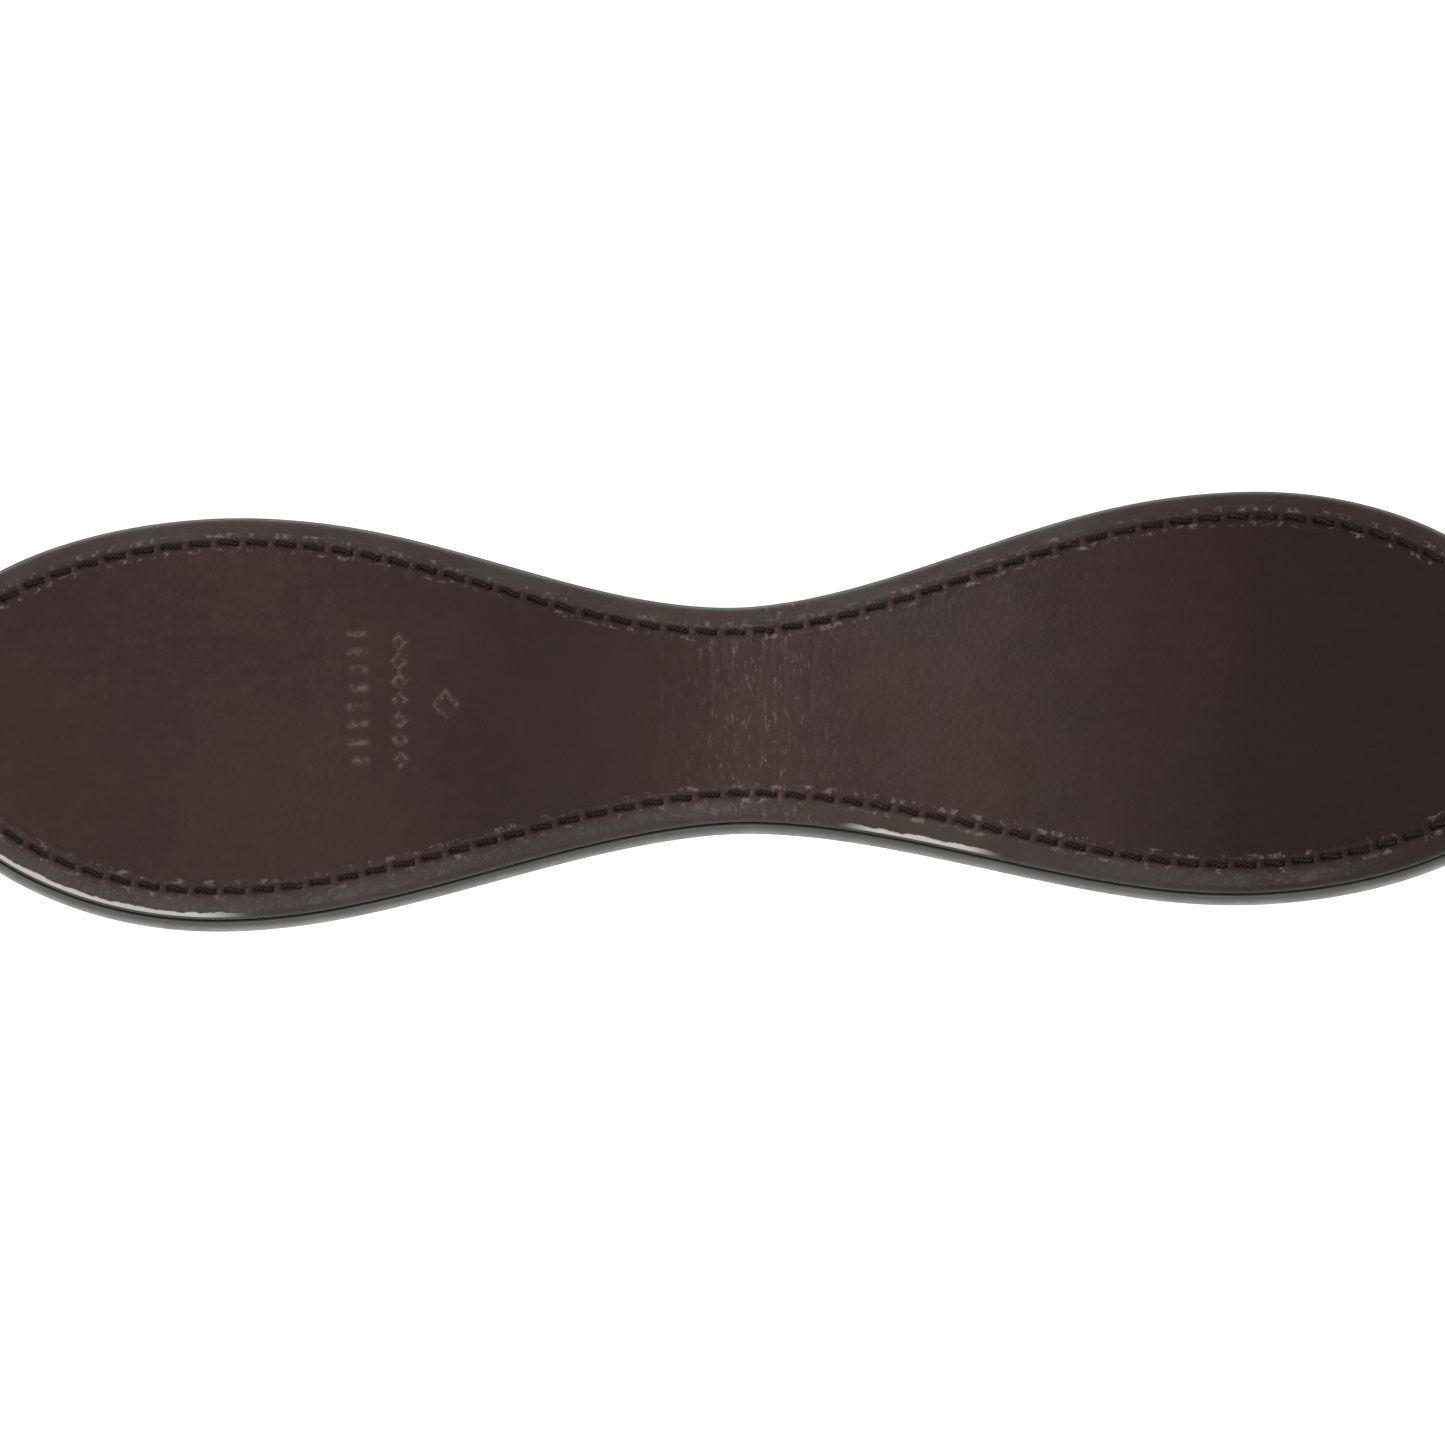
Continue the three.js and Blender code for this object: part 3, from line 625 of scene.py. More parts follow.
def saddle(side):
    """The moulded block between the bent back and the flat bracket."""
    low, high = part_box("saddle_right")
    seat = low.z / MM
    outline = rounded_outline(low.x / MM, high.x / MM, high.y / MM, 6, 160)
    if side < 0:
        outline.x = -outline.x
        outline.normal_x = -outline.normal_x
    back = level(BACK_BOTTOM - GAP)

    def part(share):
        return lambda x: seat + share * (back(x) - seat)

    edge = [(1.3, 0), (0.75, 0.01), (0.35, 0.05), (0.12, 0.11), (0, 0.2), (0, 0.8)]
    edge += [(0.1, 0.9), (0.3, 0.96), (0.7, 1)]
    return plate_layer([(d, part(s)) for d, s in edge], (12, 12), outline=outline)


def bracket():
    low, high = leg_box("bracket_right")
    top = high.z
    bottom = top - 1.6
    base = prism(rounded_rectangle(low.x, high.x, -10, 10, 5), bottom, top)
    foot = bottom + 0.2
    ear_side = [(-EAR_FOOT, foot)] + arc(-EAR_FOOT, bottom - 4, 4, 90, 0, 8)
    ear_side += arc(0, 0, EAR_RADIUS, 180, 360, 32)
    ear_side += arc(EAR_FOOT, bottom - 4, 4, 180, 90, 8) + [(EAR_FOOT, foot)]
    ears = []
    for y in (EAR_INNER, -EAR_INNER - EAR_THICKNESS):
        ears.append(prism(ear_side, y, y + EAR_THICKNESS, "Y"))
    combine("UNION", base, *ears)
    reach = WIDTH_TRAVEL + SCREW_RADIUS + GAP
    slots = []
    for x in SCREW_PLACES.values():
        outline = rounded_rectangle(x - reach, x + reach, -1.8, 1.8, 1.79)
        slots.append(prism(outline, bottom - 2, top + 2))
    hole = prism(disc(0, 0, PIN_RADIUS + GAP), -12, 12, "Y")
    combine("DIFFERENCE", base, *slots, hole)
    return bevel(base, 0.3)


def yoke():
    low, high = leg_box("yoke_right")
    lug_side = [(-EAR_RADIUS, FRAME_TOP - 0.5)] + arc(0, 0, EAR_RADIUS, 180, 0, 32)
    lug_side += [(EAR_RADIUS, FRAME_TOP - 0.5)]
    body = prism(rounded_rectangle(low.x, high.x, low.y, high.y, 2), low.z, FRAME_TOP)
    lug = prism(lug_side, -LUG_HALF_WIDTH, LUG_HALF_WIDTH, "Y")
    combine("UNION", body, lug)
    half = WINDOW_WIDTH / 2
    opening = rounded_rectangle(-half, half, WINDOW_BOTTOM, WINDOW_TOP, 0.8)
    window = prism(opening, -9, 9, "X")
    bore = prism(disc(0, 0, STEM_RADIUS + GAP), low.z - 2, -4.2)
    hole = prism(disc(0, 0, PIN_RADIUS + GAP), -9, 9, "Y")
    combine("DIFFERENCE", body, window, bore, hole)
    return bevel(body, 0.4)


def height_wheel():
    low, high = leg_box("height_wheel_right")
    rim, bore, teeth = high.x, STEM_RADIUS + GAP, 36

    def knurl(radius, distance, angles):
        depth = 0.55 if radius > rim - 0.35 else 0
        tooth = (0.5 + 0.5 * np.cos(teeth * angles)) ** 0.7
        return radius - depth * (1 - tooth)

    rows = [(bore + 0.3, low.z), (4.4, low.z), (4.6, low.z + 0.25), (5.3, low.z + 0.25)]
    rows += [(5.5, low.z), (6.3, low.z), (6.62, low.z + 0.25), (6.8, low.z + 0.55)]
    rows.append((rim, low.z + 0.8))
    middle = (low.z + high.z) / 2
    rows += [(rim, middle)] + [(radius, 2 * middle - z) for radius, z in rows[::-1]]
    rows += [(bore, high.z - 0.3), (bore, low.z + 0.3)]
    return sharpen(turn(rows, sides=288, reshape=knurl, closed=True), 40)


def threaded(first, last, radius, pitch, depth):
    """A reshape that cuts a right-hand helical thread between two distances."""

    def cut(rim, distance, angles):
        if rim < radius or not first < distance < last:
            return np.full(len(angles), rim)
        phase = (distance / pitch - angles / (2 * math.pi)) % 1
        fade = min(1, (distance - first) / pitch, (last - distance) / pitch)
        return rim - depth * fade * np.clip(2.4 * np.abs(phase - 0.5) - 0.1, 0, 1)

    return cut


def leg_screw():
    low, high = leg_box("leg_screw_right")
    top = high.z
    rows = [(0, low.z), (SCREW_RADIUS - 0.3, low.z), (SCREW_RADIUS, low.z + 0.3)]
    rows += [(SCREW_RADIUS, HUB_BOTTOM - GAP - 0.01), (JOURNAL_RADIUS - 0.15, HUB_BOTTOM - GAP)]
    rows += [(JOURNAL_RADIUS, HUB_BOTTOM - GAP + 0.2), (JOURNAL_RADIUS, STEM_SHOULDER)]
    rows += [(STEM_RADIUS - 0.25, STEM_SHOULDER), (STEM_RADIUS, STEM_SHOULDER + 0.25)]
    rows += [(STEM_RADIUS, z) for z in np.arange(STEM_SHOULDER + 0.4, top - 0.5, 0.12)]
    rows += [(STEM_RADIUS - 0.1, top - 0.25), (STEM_RADIUS - 0.5, top), (0, top)]
    helix = threaded(STEM_SHOULDER + 0.4, top - 0.4, STEM_RADIUS, THREAD_PITCH, 0.42)
    return sharpen(turn(rows, sides=72, reshape=helix), 50)


def cap_nut():
    low, high = leg_box("cap_nut_right")
    hex_bottom = low.z + 1.5

    def hexagon(radius, distance, angles):
        if distance < hex_bottom or radius < 2.5:
            return np.full(len(angles), radius)
        off = (angles + math.pi / 6) % (math.pi / 3) - math.pi / 6
        flat = high.x * math.cos(math.pi / 6) / np.cos(off)
        return np.minimum(radius, flat)

    rows = [(0, low.z)]
    for a in np.radians(np.arange(10, 91, 10)):
        rows.append((2.9 * math.sin(a), hex_bottom - 1.5 * math.cos(a)))
    rows += [(3.3, hex_bottom), (3.3, hex_bottom + 0.01), (3.75, hex_bottom + 0.25)]
    rows += [(high.x, hex_bottom + 0.45), (high.x, high.z - 0.3), (3.75, high.z)]
    rows += [(1.8, high.z), (1.8, low.z + 1.3), (0, low.z + 1.3)]
    return sharpen(turn(rows, sides=96, reshape=hexagon), 30)


def claw_points(side, start, end):
    """The claw's middle line: out along the ledge, down, and back in under the violin."""
    foot = LEDGE_Z - CLAW_DROP
    bend_x = CLAW_X - CLAW_BEND
    plan = [(x, LEDGE_Z) for x in np.linspace(start, bend_x, 8)[:-1]]
    plan += arc(bend_x, LEDGE_Z - CLAW_BEND, CLAW_BEND, 90, 0, 12)
    plan += [(CLAW_X, z) for z in np.linspace(LEDGE_Z - CLAW_BEND, foot + CLAW_BEND, 8)[1:-1]]
    plan += arc(bend_x, foot + CLAW_BEND, CLAW_BEND, 0, -90, 12)
    plan.append((end, foot))
    return np.array([(x, side * PRONG_Y, z) for x, z in plan])


def arm_points(side):
    """A smooth curve from the hub to the ledge, through its middle points."""
    end = (ARM_END_X, PRONG_Y, LEDGE_Z)
    knots = np.array([*ARM_KNOTS, end])
    after = knots[-1] + np.array([2.5, 0, 0])
    ends = [2 * knots[0] - knots[1], *knots, after]
    points = []
    for a, b, c, d in zip(ends[:-3], ends[1:-2], ends[2:-1], ends[3:]):
        for t in np.linspace(0, 1, ARM_STEPS, endpoint=False):
            bow = 2 * b + t * (c - a) + t * t * (2 * a - 5 * b + 4 * c - d)
            points.append(0.5 * (bow + t**3 * (3 * b - a - 3 * c + d)))
    return np.array(points) * (1, side, 1)


def fork():
    """Hub and two bent wire prongs, brazed together."""
    groove = [(0, -24.4), (0.25, -24.55), (0.25, -24.85), (0, -25)]
    bore = JOURNAL_RADIUS + GAP
    rows = [(bore + 0.3, HUB_TOP), (HUB_RADIUS - 0.6, HUB_TOP), (HUB_RADIUS - 0.2, HUB_TOP - 0.2)]
    rows.append((HUB_RADIUS, HUB_TOP - 0.6))
    rows += [(HUB_RADIUS - depth, z) for depth, z in groove] + [(HUB_RADIUS, HUB_BOTTOM + 0.6)]
    rows += [(HUB_RADIUS - 0.2, HUB_BOTTOM + 0.2), (HUB_RADIUS - 0.6, HUB_BOTTOM)]
    rows += [(bore + 0.3, HUB_BOTTOM), (bore, HUB_BOTTOM + 0.3), (bore, HUB_TOP - 0.3)]
    hub = turn(rows, sides=96, closed=True)
    wires = []
    for side in (-1, 1):
        path = np.concatenate([arm_points(side), claw_points(side, ARM_END_X, CLAW_TIP)])
        length = np.linalg.norm(np.diff(path, axis=0), axis=1).sum()
        rows = [(0, 0), (PRONG_RADIUS, 0)]
        rows += [(PRONG_RADIUS, s) for s in np.arange(0.4, length - 0.6, 0.4)]
        rows += [(PRONG_RADIUS - 0.2, length - 0.2), (PRONG_RADIUS - 0.6, length), (0, length)]
        wires.append(turn(rows, path, sides=32))
    return sharpen(combine("UNION", hub, *wires), 45)


def grip(side):
    """A moulded rubber sleeve with soft corners, grip rings and a rounded tip."""
    path = claw_points(side, ARM_END_X + 0.4, SLEEVE_TIP)
    length = np.linalg.norm(np.diff(path, axis=0), axis=1).sum()
    ledge = CLAW_X - CLAW_BEND - ARM_END_X - 0.4
    jaw_start = ledge + CLAW_BEND * math.pi / 2 - 0.4
    jaw_end = jaw_start + CLAW_DROP - 2 * CLAW_BEND + 0.8

    def soft_octagon(radius, distance, angles):
        if radius < 2:
            return np.full(len(angles), radius)
        off = (angles + math.pi / 8) % (math.pi / 4) - math.pi / 8
        corner = np.minimum(1 / np.cos(off), 1.045)
        ring = 0
        if jaw_start < distance < jaw_end:
            ring = 0.22 * max(0, math.sin((distance - jaw_start) * math.pi / 0.8)) ** 0.6
        return radius * corner - ring

    inside = PRONG_RADIUS + 0.1
    rows = [(0, 3.2), (inside, 3.2), (inside, 0.3), (inside + 0.25, 0)]
    rows += [(SLEEVE_RADIUS - 0.8, 0), (SLEEVE_RADIUS - 0.3, 0.12), (SLEEVE_RADIUS - 0.06, 0.4)]
    rows += [(SLEEVE_RADIUS, s) for s in np.arange(0.8, length - SLEEVE_CORNER, 0.13)]
    shoulder = (SLEEVE_RADIUS - SLEEVE_CORNER, length - SLEEVE_CORNER)
    rows += arc(*shoulder, SLEEVE_CORNER, 10, 80, 7)
    rows += [(SLEEVE_RADIUS - 1.3, length), (0, length)]
    return sharpen(turn(rows, path, 64, soft_octagon), 55)


def hinge_pin():
    low, high = leg_box("hinge_pin_right")
    end = EAR_INNER + EAR_THICKNESS + GAP
    rows = [(0, low.y)]
    for a in np.radians(np.arange(15, 76, 15)):
        rows.append((2.8 * math.sin(a), low.y + 0.7 * (1 - math.cos(a))))
    rows += [(2.8, low.y + 0.75), (2.8, -end), (PIN_RADIUS, -end), (PIN_RADIUS, end)]
    rows += [(2.3, end), (2.3, end + 0.35), (2.0, end + 0.7), (1.5, high.y)]
    rows += [(0.8, high.y - 0.15), (0, high.y - 0.2)]
    path = np.array([[0, low.y - 1, 0], [0, high.y + 1, 0]], float)
    rows = [(radius, y - low.y + 1) for radius, y in rows]
    return sharpen(turn(rows, path, 48), 40)


def clamp_screw(node):
    """A slotted pan-head screw with a helical thread, its head down."""
    low, high = leg_box(node)
    head_top = low.z + 1.7
    rows = [(0, low.z), (1.6, low.z + 0.02), (2.4, low.z + 0.14), (2.9, low.z + 0.4)]
    rows += [(3.15, low.z + 0.75), (3.2, low.z + 1.1), (3.2, head_top - 0.1), (3.1, head_top)]
    rows.append((SCREW_RADIUS, head_top))
    rows += [(SCREW_RADIUS, z) for z in np.arange(head_top + 0.3, high.z - 0.5, 0.06)]
    rows += [(SCREW_RADIUS - 0.1, high.z - 0.3), (SCREW_RADIUS - 0.4, high.z), (0, high.z)]
    helix = threaded(head_top + 0.3, high.z - 0.3, SCREW_RADIUS, 0.5, 0.2)
    screw = turn(rows, sides=48, reshape=helix)
    slot = prism(rounded_rectangle(-4, 4, -0.4, 0.4, 0.05), low.z - 1, low.z + 0.8)
    combine("DIFFERENCE", screw, slot)
    return sharpen(screw, 38)


def clamp_washer():
    low, high = leg_box("clamp_washer_right_outer")
    inner, outer = SCREW_RADIUS + GAP, (high.y - low.y) / 2
    rows = [(inner, low.z + 0.1), (inner + 0.12, low.z), (outer - 0.2, low.z), (outer, low.z + 0.2)]
    rows += [(outer, high.z - 0.12), (outer - 0.12, high.z), (inner + 0.12, high.z)]
    rows.append((inner, high.z - 0.1))
    return sharpen(turn(rows, sides=64, closed=True), 38)


# ---- materials


def linear(red, green, blue):
    """A colour from its 0 to 255 display values."""
    parts = [channel / 255 for channel in (red, green, blue)]
    return [p / 12.92 if p <= 0.04045 else ((p + 0.055) / 1.055) ** 2.4 for p in parts] + [1]


class Finish:
    """A material's node tree; lengths in it are metres, because object coordinates are.

    A colour is a socket, or a tuple of 0 to 255 display values.
    """

    def __init__(self, name):
        self.material = bpy.data.materials.new(name)
        self.material.use_nodes = True
        self.nodes = self.material.node_tree.nodes
        self.shader = self.nodes["Principled BSDF"]
        self.coordinates = self.nodes.new("ShaderNodeTexCoord").outputs["Object"]

    def add(self, kind, inputs, **settings):
        node = self.nodes.new(kind)
        for key, value in settings.items():
            setattr(node, key, value)
        for key, value in inputs.items():
            self.feed(node.inputs[key], value)
        return node

    def feed(self, socket, value):
        if isinstance(value, bpy.types.NodeSocket):
            self.material.node_tree.links.new(value, socket)
        else:
            socket.default_value = value

    def surface(self, **inputs):
        for key, value in inputs.items():
            self.feed(self.shader.inputs[key.replace("_", " ")], value)
        return self.material

    def attribute(self, name):
        return self.add("ShaderNodeAttribute", {}, attribute_name=name).outputs["Fac"]

    def place(self, axis):
        split = self.add("ShaderNodeSeparateXYZ", {"Vector": self.coordinates})
        return split.outputs[axis]

    def noise(self, scale, detail, roughness, vector=None):
        inputs = {"Scale": scale, "Detail": detail, "Roughness": roughness}
        inputs["Vector"] = vector or self.coordinates
        return self.add("ShaderNodeTexNoise", inputs).outputs["Fac"]

    def cloud(self, noise, *spread):
        """Noise of a (scale, detail, roughness), spread."""
        return self.spread(self.noise(*noise), *spread)

    def grain(self, scales, detail, roughness, turn=0):
        """Noise with a scale along each axis, turned about Z."""
        inputs = {"Vector": self.coordinates, "Scale": scales, "Rotation": (0, 0, turn)}
        stretched = self.add("ShaderNodeMapping", inputs).outputs["Vector"]
        return self.noise(1, detail, roughness, stretched)

    def cells(self, scale, feature="F1", **inputs):
        inputs = {"Scale": scale, "Vector": self.coordinates, **inputs}
        return self.add("ShaderNodeTexVoronoi", inputs, feature=feature).outputs["Distance"]

    def spread(self, value, low, high, to_low=0, to_high=1):
        """Takes low to high smoothly into to_low to to_high."""
        names = ("Value", "From Min", "From Max", "To Min", "To Max")
        inputs = dict(zip(names, (value, low, high, to_low, to_high)))
        node = self.add("ShaderNodeMapRange", inputs, interpolation_type="SMOOTHSTEP")
        return node.outputs["Result"]

    def math(self, operation, first, second=0.0):
        node = self.add("ShaderNodeMath", {}, operation=operation)
        self.feed(node.inputs[0], first)
        self.feed(node.inputs[1], second)
        return node.outputs["Value"]

    def times(self, first, second):
        return self.math("MULTIPLY", first, second)

    def gap(self, first, second):
        return self.math("ABSOLUTE", self.math("SUBTRACT", first, second))

    def mix(self, share, first, second):
        node = self.add("ShaderNodeMix", {}, data_type="RGBA")
        self.feed(node.inputs["Factor"], share)
        for index, colour in ((6, first), (7, second)):
            self.feed(node.inputs[index], linear(*colour) if isinstance(colour, tuple) else colour)
        return node.outputs[2]

    def coats(self, colour, *coats):
        """Lays coats over a colour, each a (colour, place, *strengths)."""
        for shade, place, *strengths in coats:
            for strength in strengths:
                place = self.times(place, strength)
            colour = self.mix(place, colour, shade)
        return colour

    def bump(self, height, distance, strength, normal=None):
        inputs = {"Height": height, "Distance": distance, "Strength": strength}
        if normal:
            inputs["Normal"] = normal
        return self.add("ShaderNodeBump", inputs).outputs["Normal"]


def leather_grain(finish):
    """Pores, pebbles and hair-fine wrinkles of a tight leather, as a normal."""
    pebbles = finish.cells(1500, "SMOOTH_F1", Smoothness=0.5)
    wander = finish.add("ShaderNodeTexNoise", {"Scale": 400.0}).outputs["Color"]
    inputs = {"Factor": 0.0006, "A": finish.coordinates, "B": wander}
    warped = finish.add("ShaderNodeMix", inputs, data_type="VECTOR").outputs[1]
    wrinkles = finish.cells(520, "DISTANCE_TO_EDGE", Vector=warped)
    normal = finish.bump(finish.noise(2600, 3, 0.6), 0.00004, 0.35)
    normal = finish.bump(pebbles, 0.00007, 0.5, normal)
    return finish.bump(finish.spread(wrinkles, 0.0, 0.12), 0.00004, 0.35, normal)


def face_leather_finish():
    """Dark brown polished calf: mottled, greyer and burnished at its rim, worn pale at its arris
    under a painted highlight.

    It darkens to the right and in the left lobe's hollow, as the photo does, in painted shade;
    painted shade also darkens its seam's valley and the crevice at its edge, and painted sheen and
    glints lighten the bent waist, the stamp and the seam's lips.
    """
    finish = Finish("face_leather_calf")
    edge, bent, mark = (finish.attribute(name) for name in ("edge", "bent", "stamp"))
    patches = finish.noise(32, 4, 0.6)
    along = finish.place("X")
    # right marks where painted shade darkens the leather towards the right end
    right = finish.spread(along, 0.03, 0.08)
    # hollow marks a band left of the waist that painted shade darkens
    hollow = finish.times(finish.spread(along, -0.05, -0.032), finish.spread(along, -0.008, -0.02))
    rim = finish.spread(edge, 4.2, 3.2)
    olive = finish.cloud((70, 4, 0.6), 0.35, 0.65, 0.45, 0.85)
    # the rim's olive fades across the bent waist and under the painted shade to the right
    for place, least in ((bent, 0.6), (right, 0.5)):
        olive = finish.times(olive, finish.spread(place, 0, 1, 1, least))
    streaks = finish.grain((1100, 380, 90), 5, 0.75)
    off = finish.gap(edge, SEAM_INSET)
    colour = finish.coats(
        finish.mix(finish.spread(patches, 0.35, 0.68), (38, 20, 18), (46, 25, 22)),
        ((62, 42, 39), finish.cloud((420, 4, 0.7), 0.4, 0.75, 0, 0.3)),
        ((42, 28, 22), finish.cloud((15, 3, 0.6), 0.4, 0.62, 0, 0.5)),
        # painted shade: darker towards the right end
        ((28, 12, 11), right, 0.85),
        # painted shade in the left lobe's hollow
        ((34, 17, 15), hollow, 0.6),
        # painted sheen: lighter across the bent waist
        ((64, 46, 44), bent, 0.3),
        # painted glints: the stamp lighter in patches
        ((96, 74, 69), mark, finish.cloud((800, 3, 0.6), 0.42, 0.6, 0.1, 0.75)),
        ((22, 14, 13), finish.spread(finish.cells(2100), 0.0, 0.22, 1, 0), 0.3),
        ((56, 50, 44), rim, olive),
        ((116, 100, 96), finish.spread(streaks, 0.53, 0.72), bent, 0.6),
        # painted highlights on the seam's lips
        ((110, 95, 91), lip_glints(finish, off), 0.6),
        # painted shade in the seam's valley
        ((26, 17, 16), finish.spread(off, 0.7, 0.25), 0.15),
        # the arris worn pale, with a painted highlight, on the near side only
        ((178, 172, 166), worn_lit_arris(finish, edge)),
        # painted shade in the crevice between the face leather and the binding
        ((20, 18, 16), finish.spread(edge, 0.94, 0.84)),
    )
    scuffs = finish.grain((60, 900, 300), 4, 0.8, 0.5)
    gloss = finish.spread(scuffs, 0.3, 0.8, 0.36, 0.52)
    gloss = finish.math("ADD", gloss, finish.spread(patches, 0.3, 0.7, -0.04, 0.06))
    gloss = finish.math("SUBTRACT", gloss, finish.times(rim, 0.06))
    return finish.surface(
        Base_Color=colour,
        Roughness=gloss,
        Normal=leather_grain(finish),
        Specular_IOR_Level=finish.spread(right, 0, 1, 0.21, 0.15),
    )


def lip_glints(finish, off):
    """Painted highlights: light specks on the lips beside the seam."""
    lips = finish.spread(finish.gap(off, GLINT_OFF), 0.5, 0.2)
    return finish.times(lips, finish.cloud((620, 3, 0.7), 0.52, 0.68))


def worn_lit_arris(finish, edge):
    """Where the arris is worn pale and painted as a highlight too: the near edge of the left lobe
    and the waist.
    """
    x, y = finish.place("X"), finish.place("Y")
    near = finish.spread(y, -0.012, -0.016)
    lobe = finish.spread(x, -0.066, -0.074)
    waist = finish.times(finish.spread(x, 0.013, 0.019), finish.spread(x, 0.036, 0.03))
    zone = finish.times(near, finish.math("ADD", lobe, waist))
    ragged = finish.math("ADD", edge, finish.noise(300, 3, 0.6))
    band = finish.times(finish.spread(ragged, 2.0, 1.8), finish.spread(edge, 0.88, 0.98))
    return finish.times(finish.times(zone, band), 0.9)


def painted_edge_finish():
    """Stacked plies under grey-green edge paint, rubbed and streaked; painted shade darkens its far
    side and its top, and painted reflection lightens it a little towards the bottom.
    """
    finish = Finish("painted_edge")
    height = finish.attribute("height")
    streaks = finish.grain((90, 90, 1400), 4, 0.7)
    colour = finish.coats(
        # painted reflection: a little lighter towards the bottom
        finish.mix(finish.spread(height, -0.4, -3.3), (77, 78, 71), (83, 84, 77)),
        ((70, 72, 68), finish.spread(streaks, 0.45, 0.7, 0, 0.5)),
        ((108, 108, 101), finish.cloud((160, 5, 0.65), 0.5, 0.78, 0, 0.5)),
        ((48, 44, 40), finish.spread(finish.gap(height, PLY_LINE), 0.12, 0.03, 0, 0.4)),
        # painted shade on the far side
        ((36, 35, 31), finish.spread(finish.place("Y"), -0.006, 0.006, 0, 0.65)),
        # painted shade on its top, in the crevice under the face leather
        ((20, 20, 17), finish.spread(finish.attribute("edge"), 0.55, 0.85)),
        ((60, 50, 44), finish.spread(finish.cells(600), 0.0, 0.12, 0.55, 0)),
    )
    normal = finish.bump(finish.noise(1800, 4, 0.6), 0.00003, 0.4)
    normal = finish.bump(streaks, 0.00008, 0.45, normal)
    gloss = finish.cloud((300, 4, 0.7), 0.3, 0.75, 0.3, 0.5)
    return finish.surface(Base_Color=colour, Roughness=gloss, Normal=normal, Specular_IOR_Level=0.25)


def suede_finish():
    """Dark brown suede, its nap brushed light and dark."""
    finish = Finish("back_suede")
    nap = finish.grain((35, 90, 60), 4, 0.6, 0.4)
    fibres = finish.noise(3200, 4, 0.8)
    colour = finish.coats(
        finish.mix(finish.spread(nap, 0.35, 0.7), (46, 33, 30), (78, 59, 53)),
        ((98, 76, 68), finish.spread(fibres, 0.35, 0.75, 0, 0.6)),
        ((52, 42, 38), finish.spread(finish.attribute("edge"), 3.0, 1.2), 0.6),
    )
    normal = finish.bump(fibres, 0.00012, 0.8)
    normal = finish.bump(finish.noise(700, 3, 0.6), 0.0001, 0.5, normal)
    return finish.surface(
        Base_Color=colour, Roughness=0.92, Normal=normal, Sheen_Weight=0.35, Sheen_Roughness=0.5
    )


def thread_finish():
    """Waxed dark linen thread, with fibres along it and worn lighter spots."""
    finish = Finish("waxed_thread")
    fibres = finish.noise(5200, 4, 0.75)
    colour = finish.coats(
        finish.mix(finish.spread(fibres, 0.35, 0.7), (16, 9, 9), (36, 24, 23)),
        ((96, 78, 72), finish.cloud((260, 3, 0.6), 0.62, 0.8, 0, 0.5)),
    )
    normal = finish.bump(fibres, 0.00006, 0.7)
    return finish.surface(Base_Color=colour, Roughness=0.6, Normal=normal, Specular_IOR_Level=0.2)


def foam_finish():
    finish = Finish("foam")
    pits = finish.cells(1600)
    colour = finish.mix(finish.spread(pits, 0.1, 0.5), (22, 22, 22), (60, 60, 60))
    normal = finish.bump(pits, 0.0003, 0.9)
    return finish.surface(Base_Color=colour, Roughness=0.95, Normal=normal, Sheen_Weight=0.2)


def metal_finish(name, colour, tarnish, gloss, grain=(300, 300, 4000)):
    """Bare metal: brushed along one way, smudged, and tarnished in patches."""
    finish = Finish(name)
    brushed = finish.grain(grain, 5, 0.7)
    cloud = finish.noise(220, 5, 0.65)
    base = finish.coats(
        finish.mix(finish.spread(cloud, 0.45, 0.8, 0, 0.35), colour, tarnish),
        (tarnish, finish.spread(brushed, 0.35, 0.75, 0, 0.25)),
        ((60, 54, 48), finish.spread(finish.cells(900), 0.0, 0.08, 0.5, 0)),
    )
    rough = finish.spread(brushed, 0.3, 0.7, gloss - 0.06, gloss + 0.1)
    rough = finish.math("ADD", rough, finish.spread(cloud, 0.4, 0.8, 0, 0.12))
    normal = finish.bump(brushed, 0.00003, 0.35)
    return finish.surface(Base_Color=base, Metallic=1.0, Roughness=rough, Normal=normal)


def powder_coat_finish():
    """Black powder coat with an orange-peel skin, chipped to steel along worn edges."""
    finish = Finish("black_powder_coat")
    point = finish.add("ShaderNodeNewGeometry", {}).outputs["Pointiness"]
    ragged = finish.cloud((900, 4, 0.7), 0.2, 0.8, -0.04, 0.04)
    bare = finish.times(finish.spread(finish.math("ADD", point, ragged), 0.58, 0.66), 0.75)
    scratches = finish.grain((2200, 120, 300), 3, 0.8, 0.7)
    bare = finish.math("MAXIMUM", bare, finish.spread(scratches, 0.76, 0.8, 0, 0.7))
    coat = finish.mix(finish.cloud((500, 4, 0.6), 0.4, 0.7), (24, 24, 26), (44, 44, 47))
    peel = finish.cells(1300, "SMOOTH_F1", Smoothness=0.8)
    return finish.surface(
        Base_Color=finish.mix(bare, coat, (128, 128, 132)),
        Metallic=finish.times(bare, 0.9),
        Roughness=finish.cloud((800, 3, 0.6), 0.3, 0.7, 0.38, 0.52),
        Normal=finish.bump(peel, 0.00007, 0.5),
    )


def moulded_plastic_finish():
    finish = Finish("moulded_nylon")
    base = finish.mix(finish.cloud((120, 4, 0.6), 0.35, 0.7), (32, 31, 31), (48, 47, 46))
    scuffs = finish.grain((1500, 140, 300), 3, 0.8, 0.3)
    colour = finish.coats(base, ((92, 90, 88), finish.spread(scuffs, 0.68, 0.8, 0, 0.6)))
    rough = finish.cloud((260, 4, 0.6), 0.3, 0.7, 0.46, 0.64)
    normal = finish.bump(finish.noise(2400, 3, 0.6), 0.00006, 0.5)
    return finish.surface(Base_Color=colour, Roughness=rough, Normal=normal)


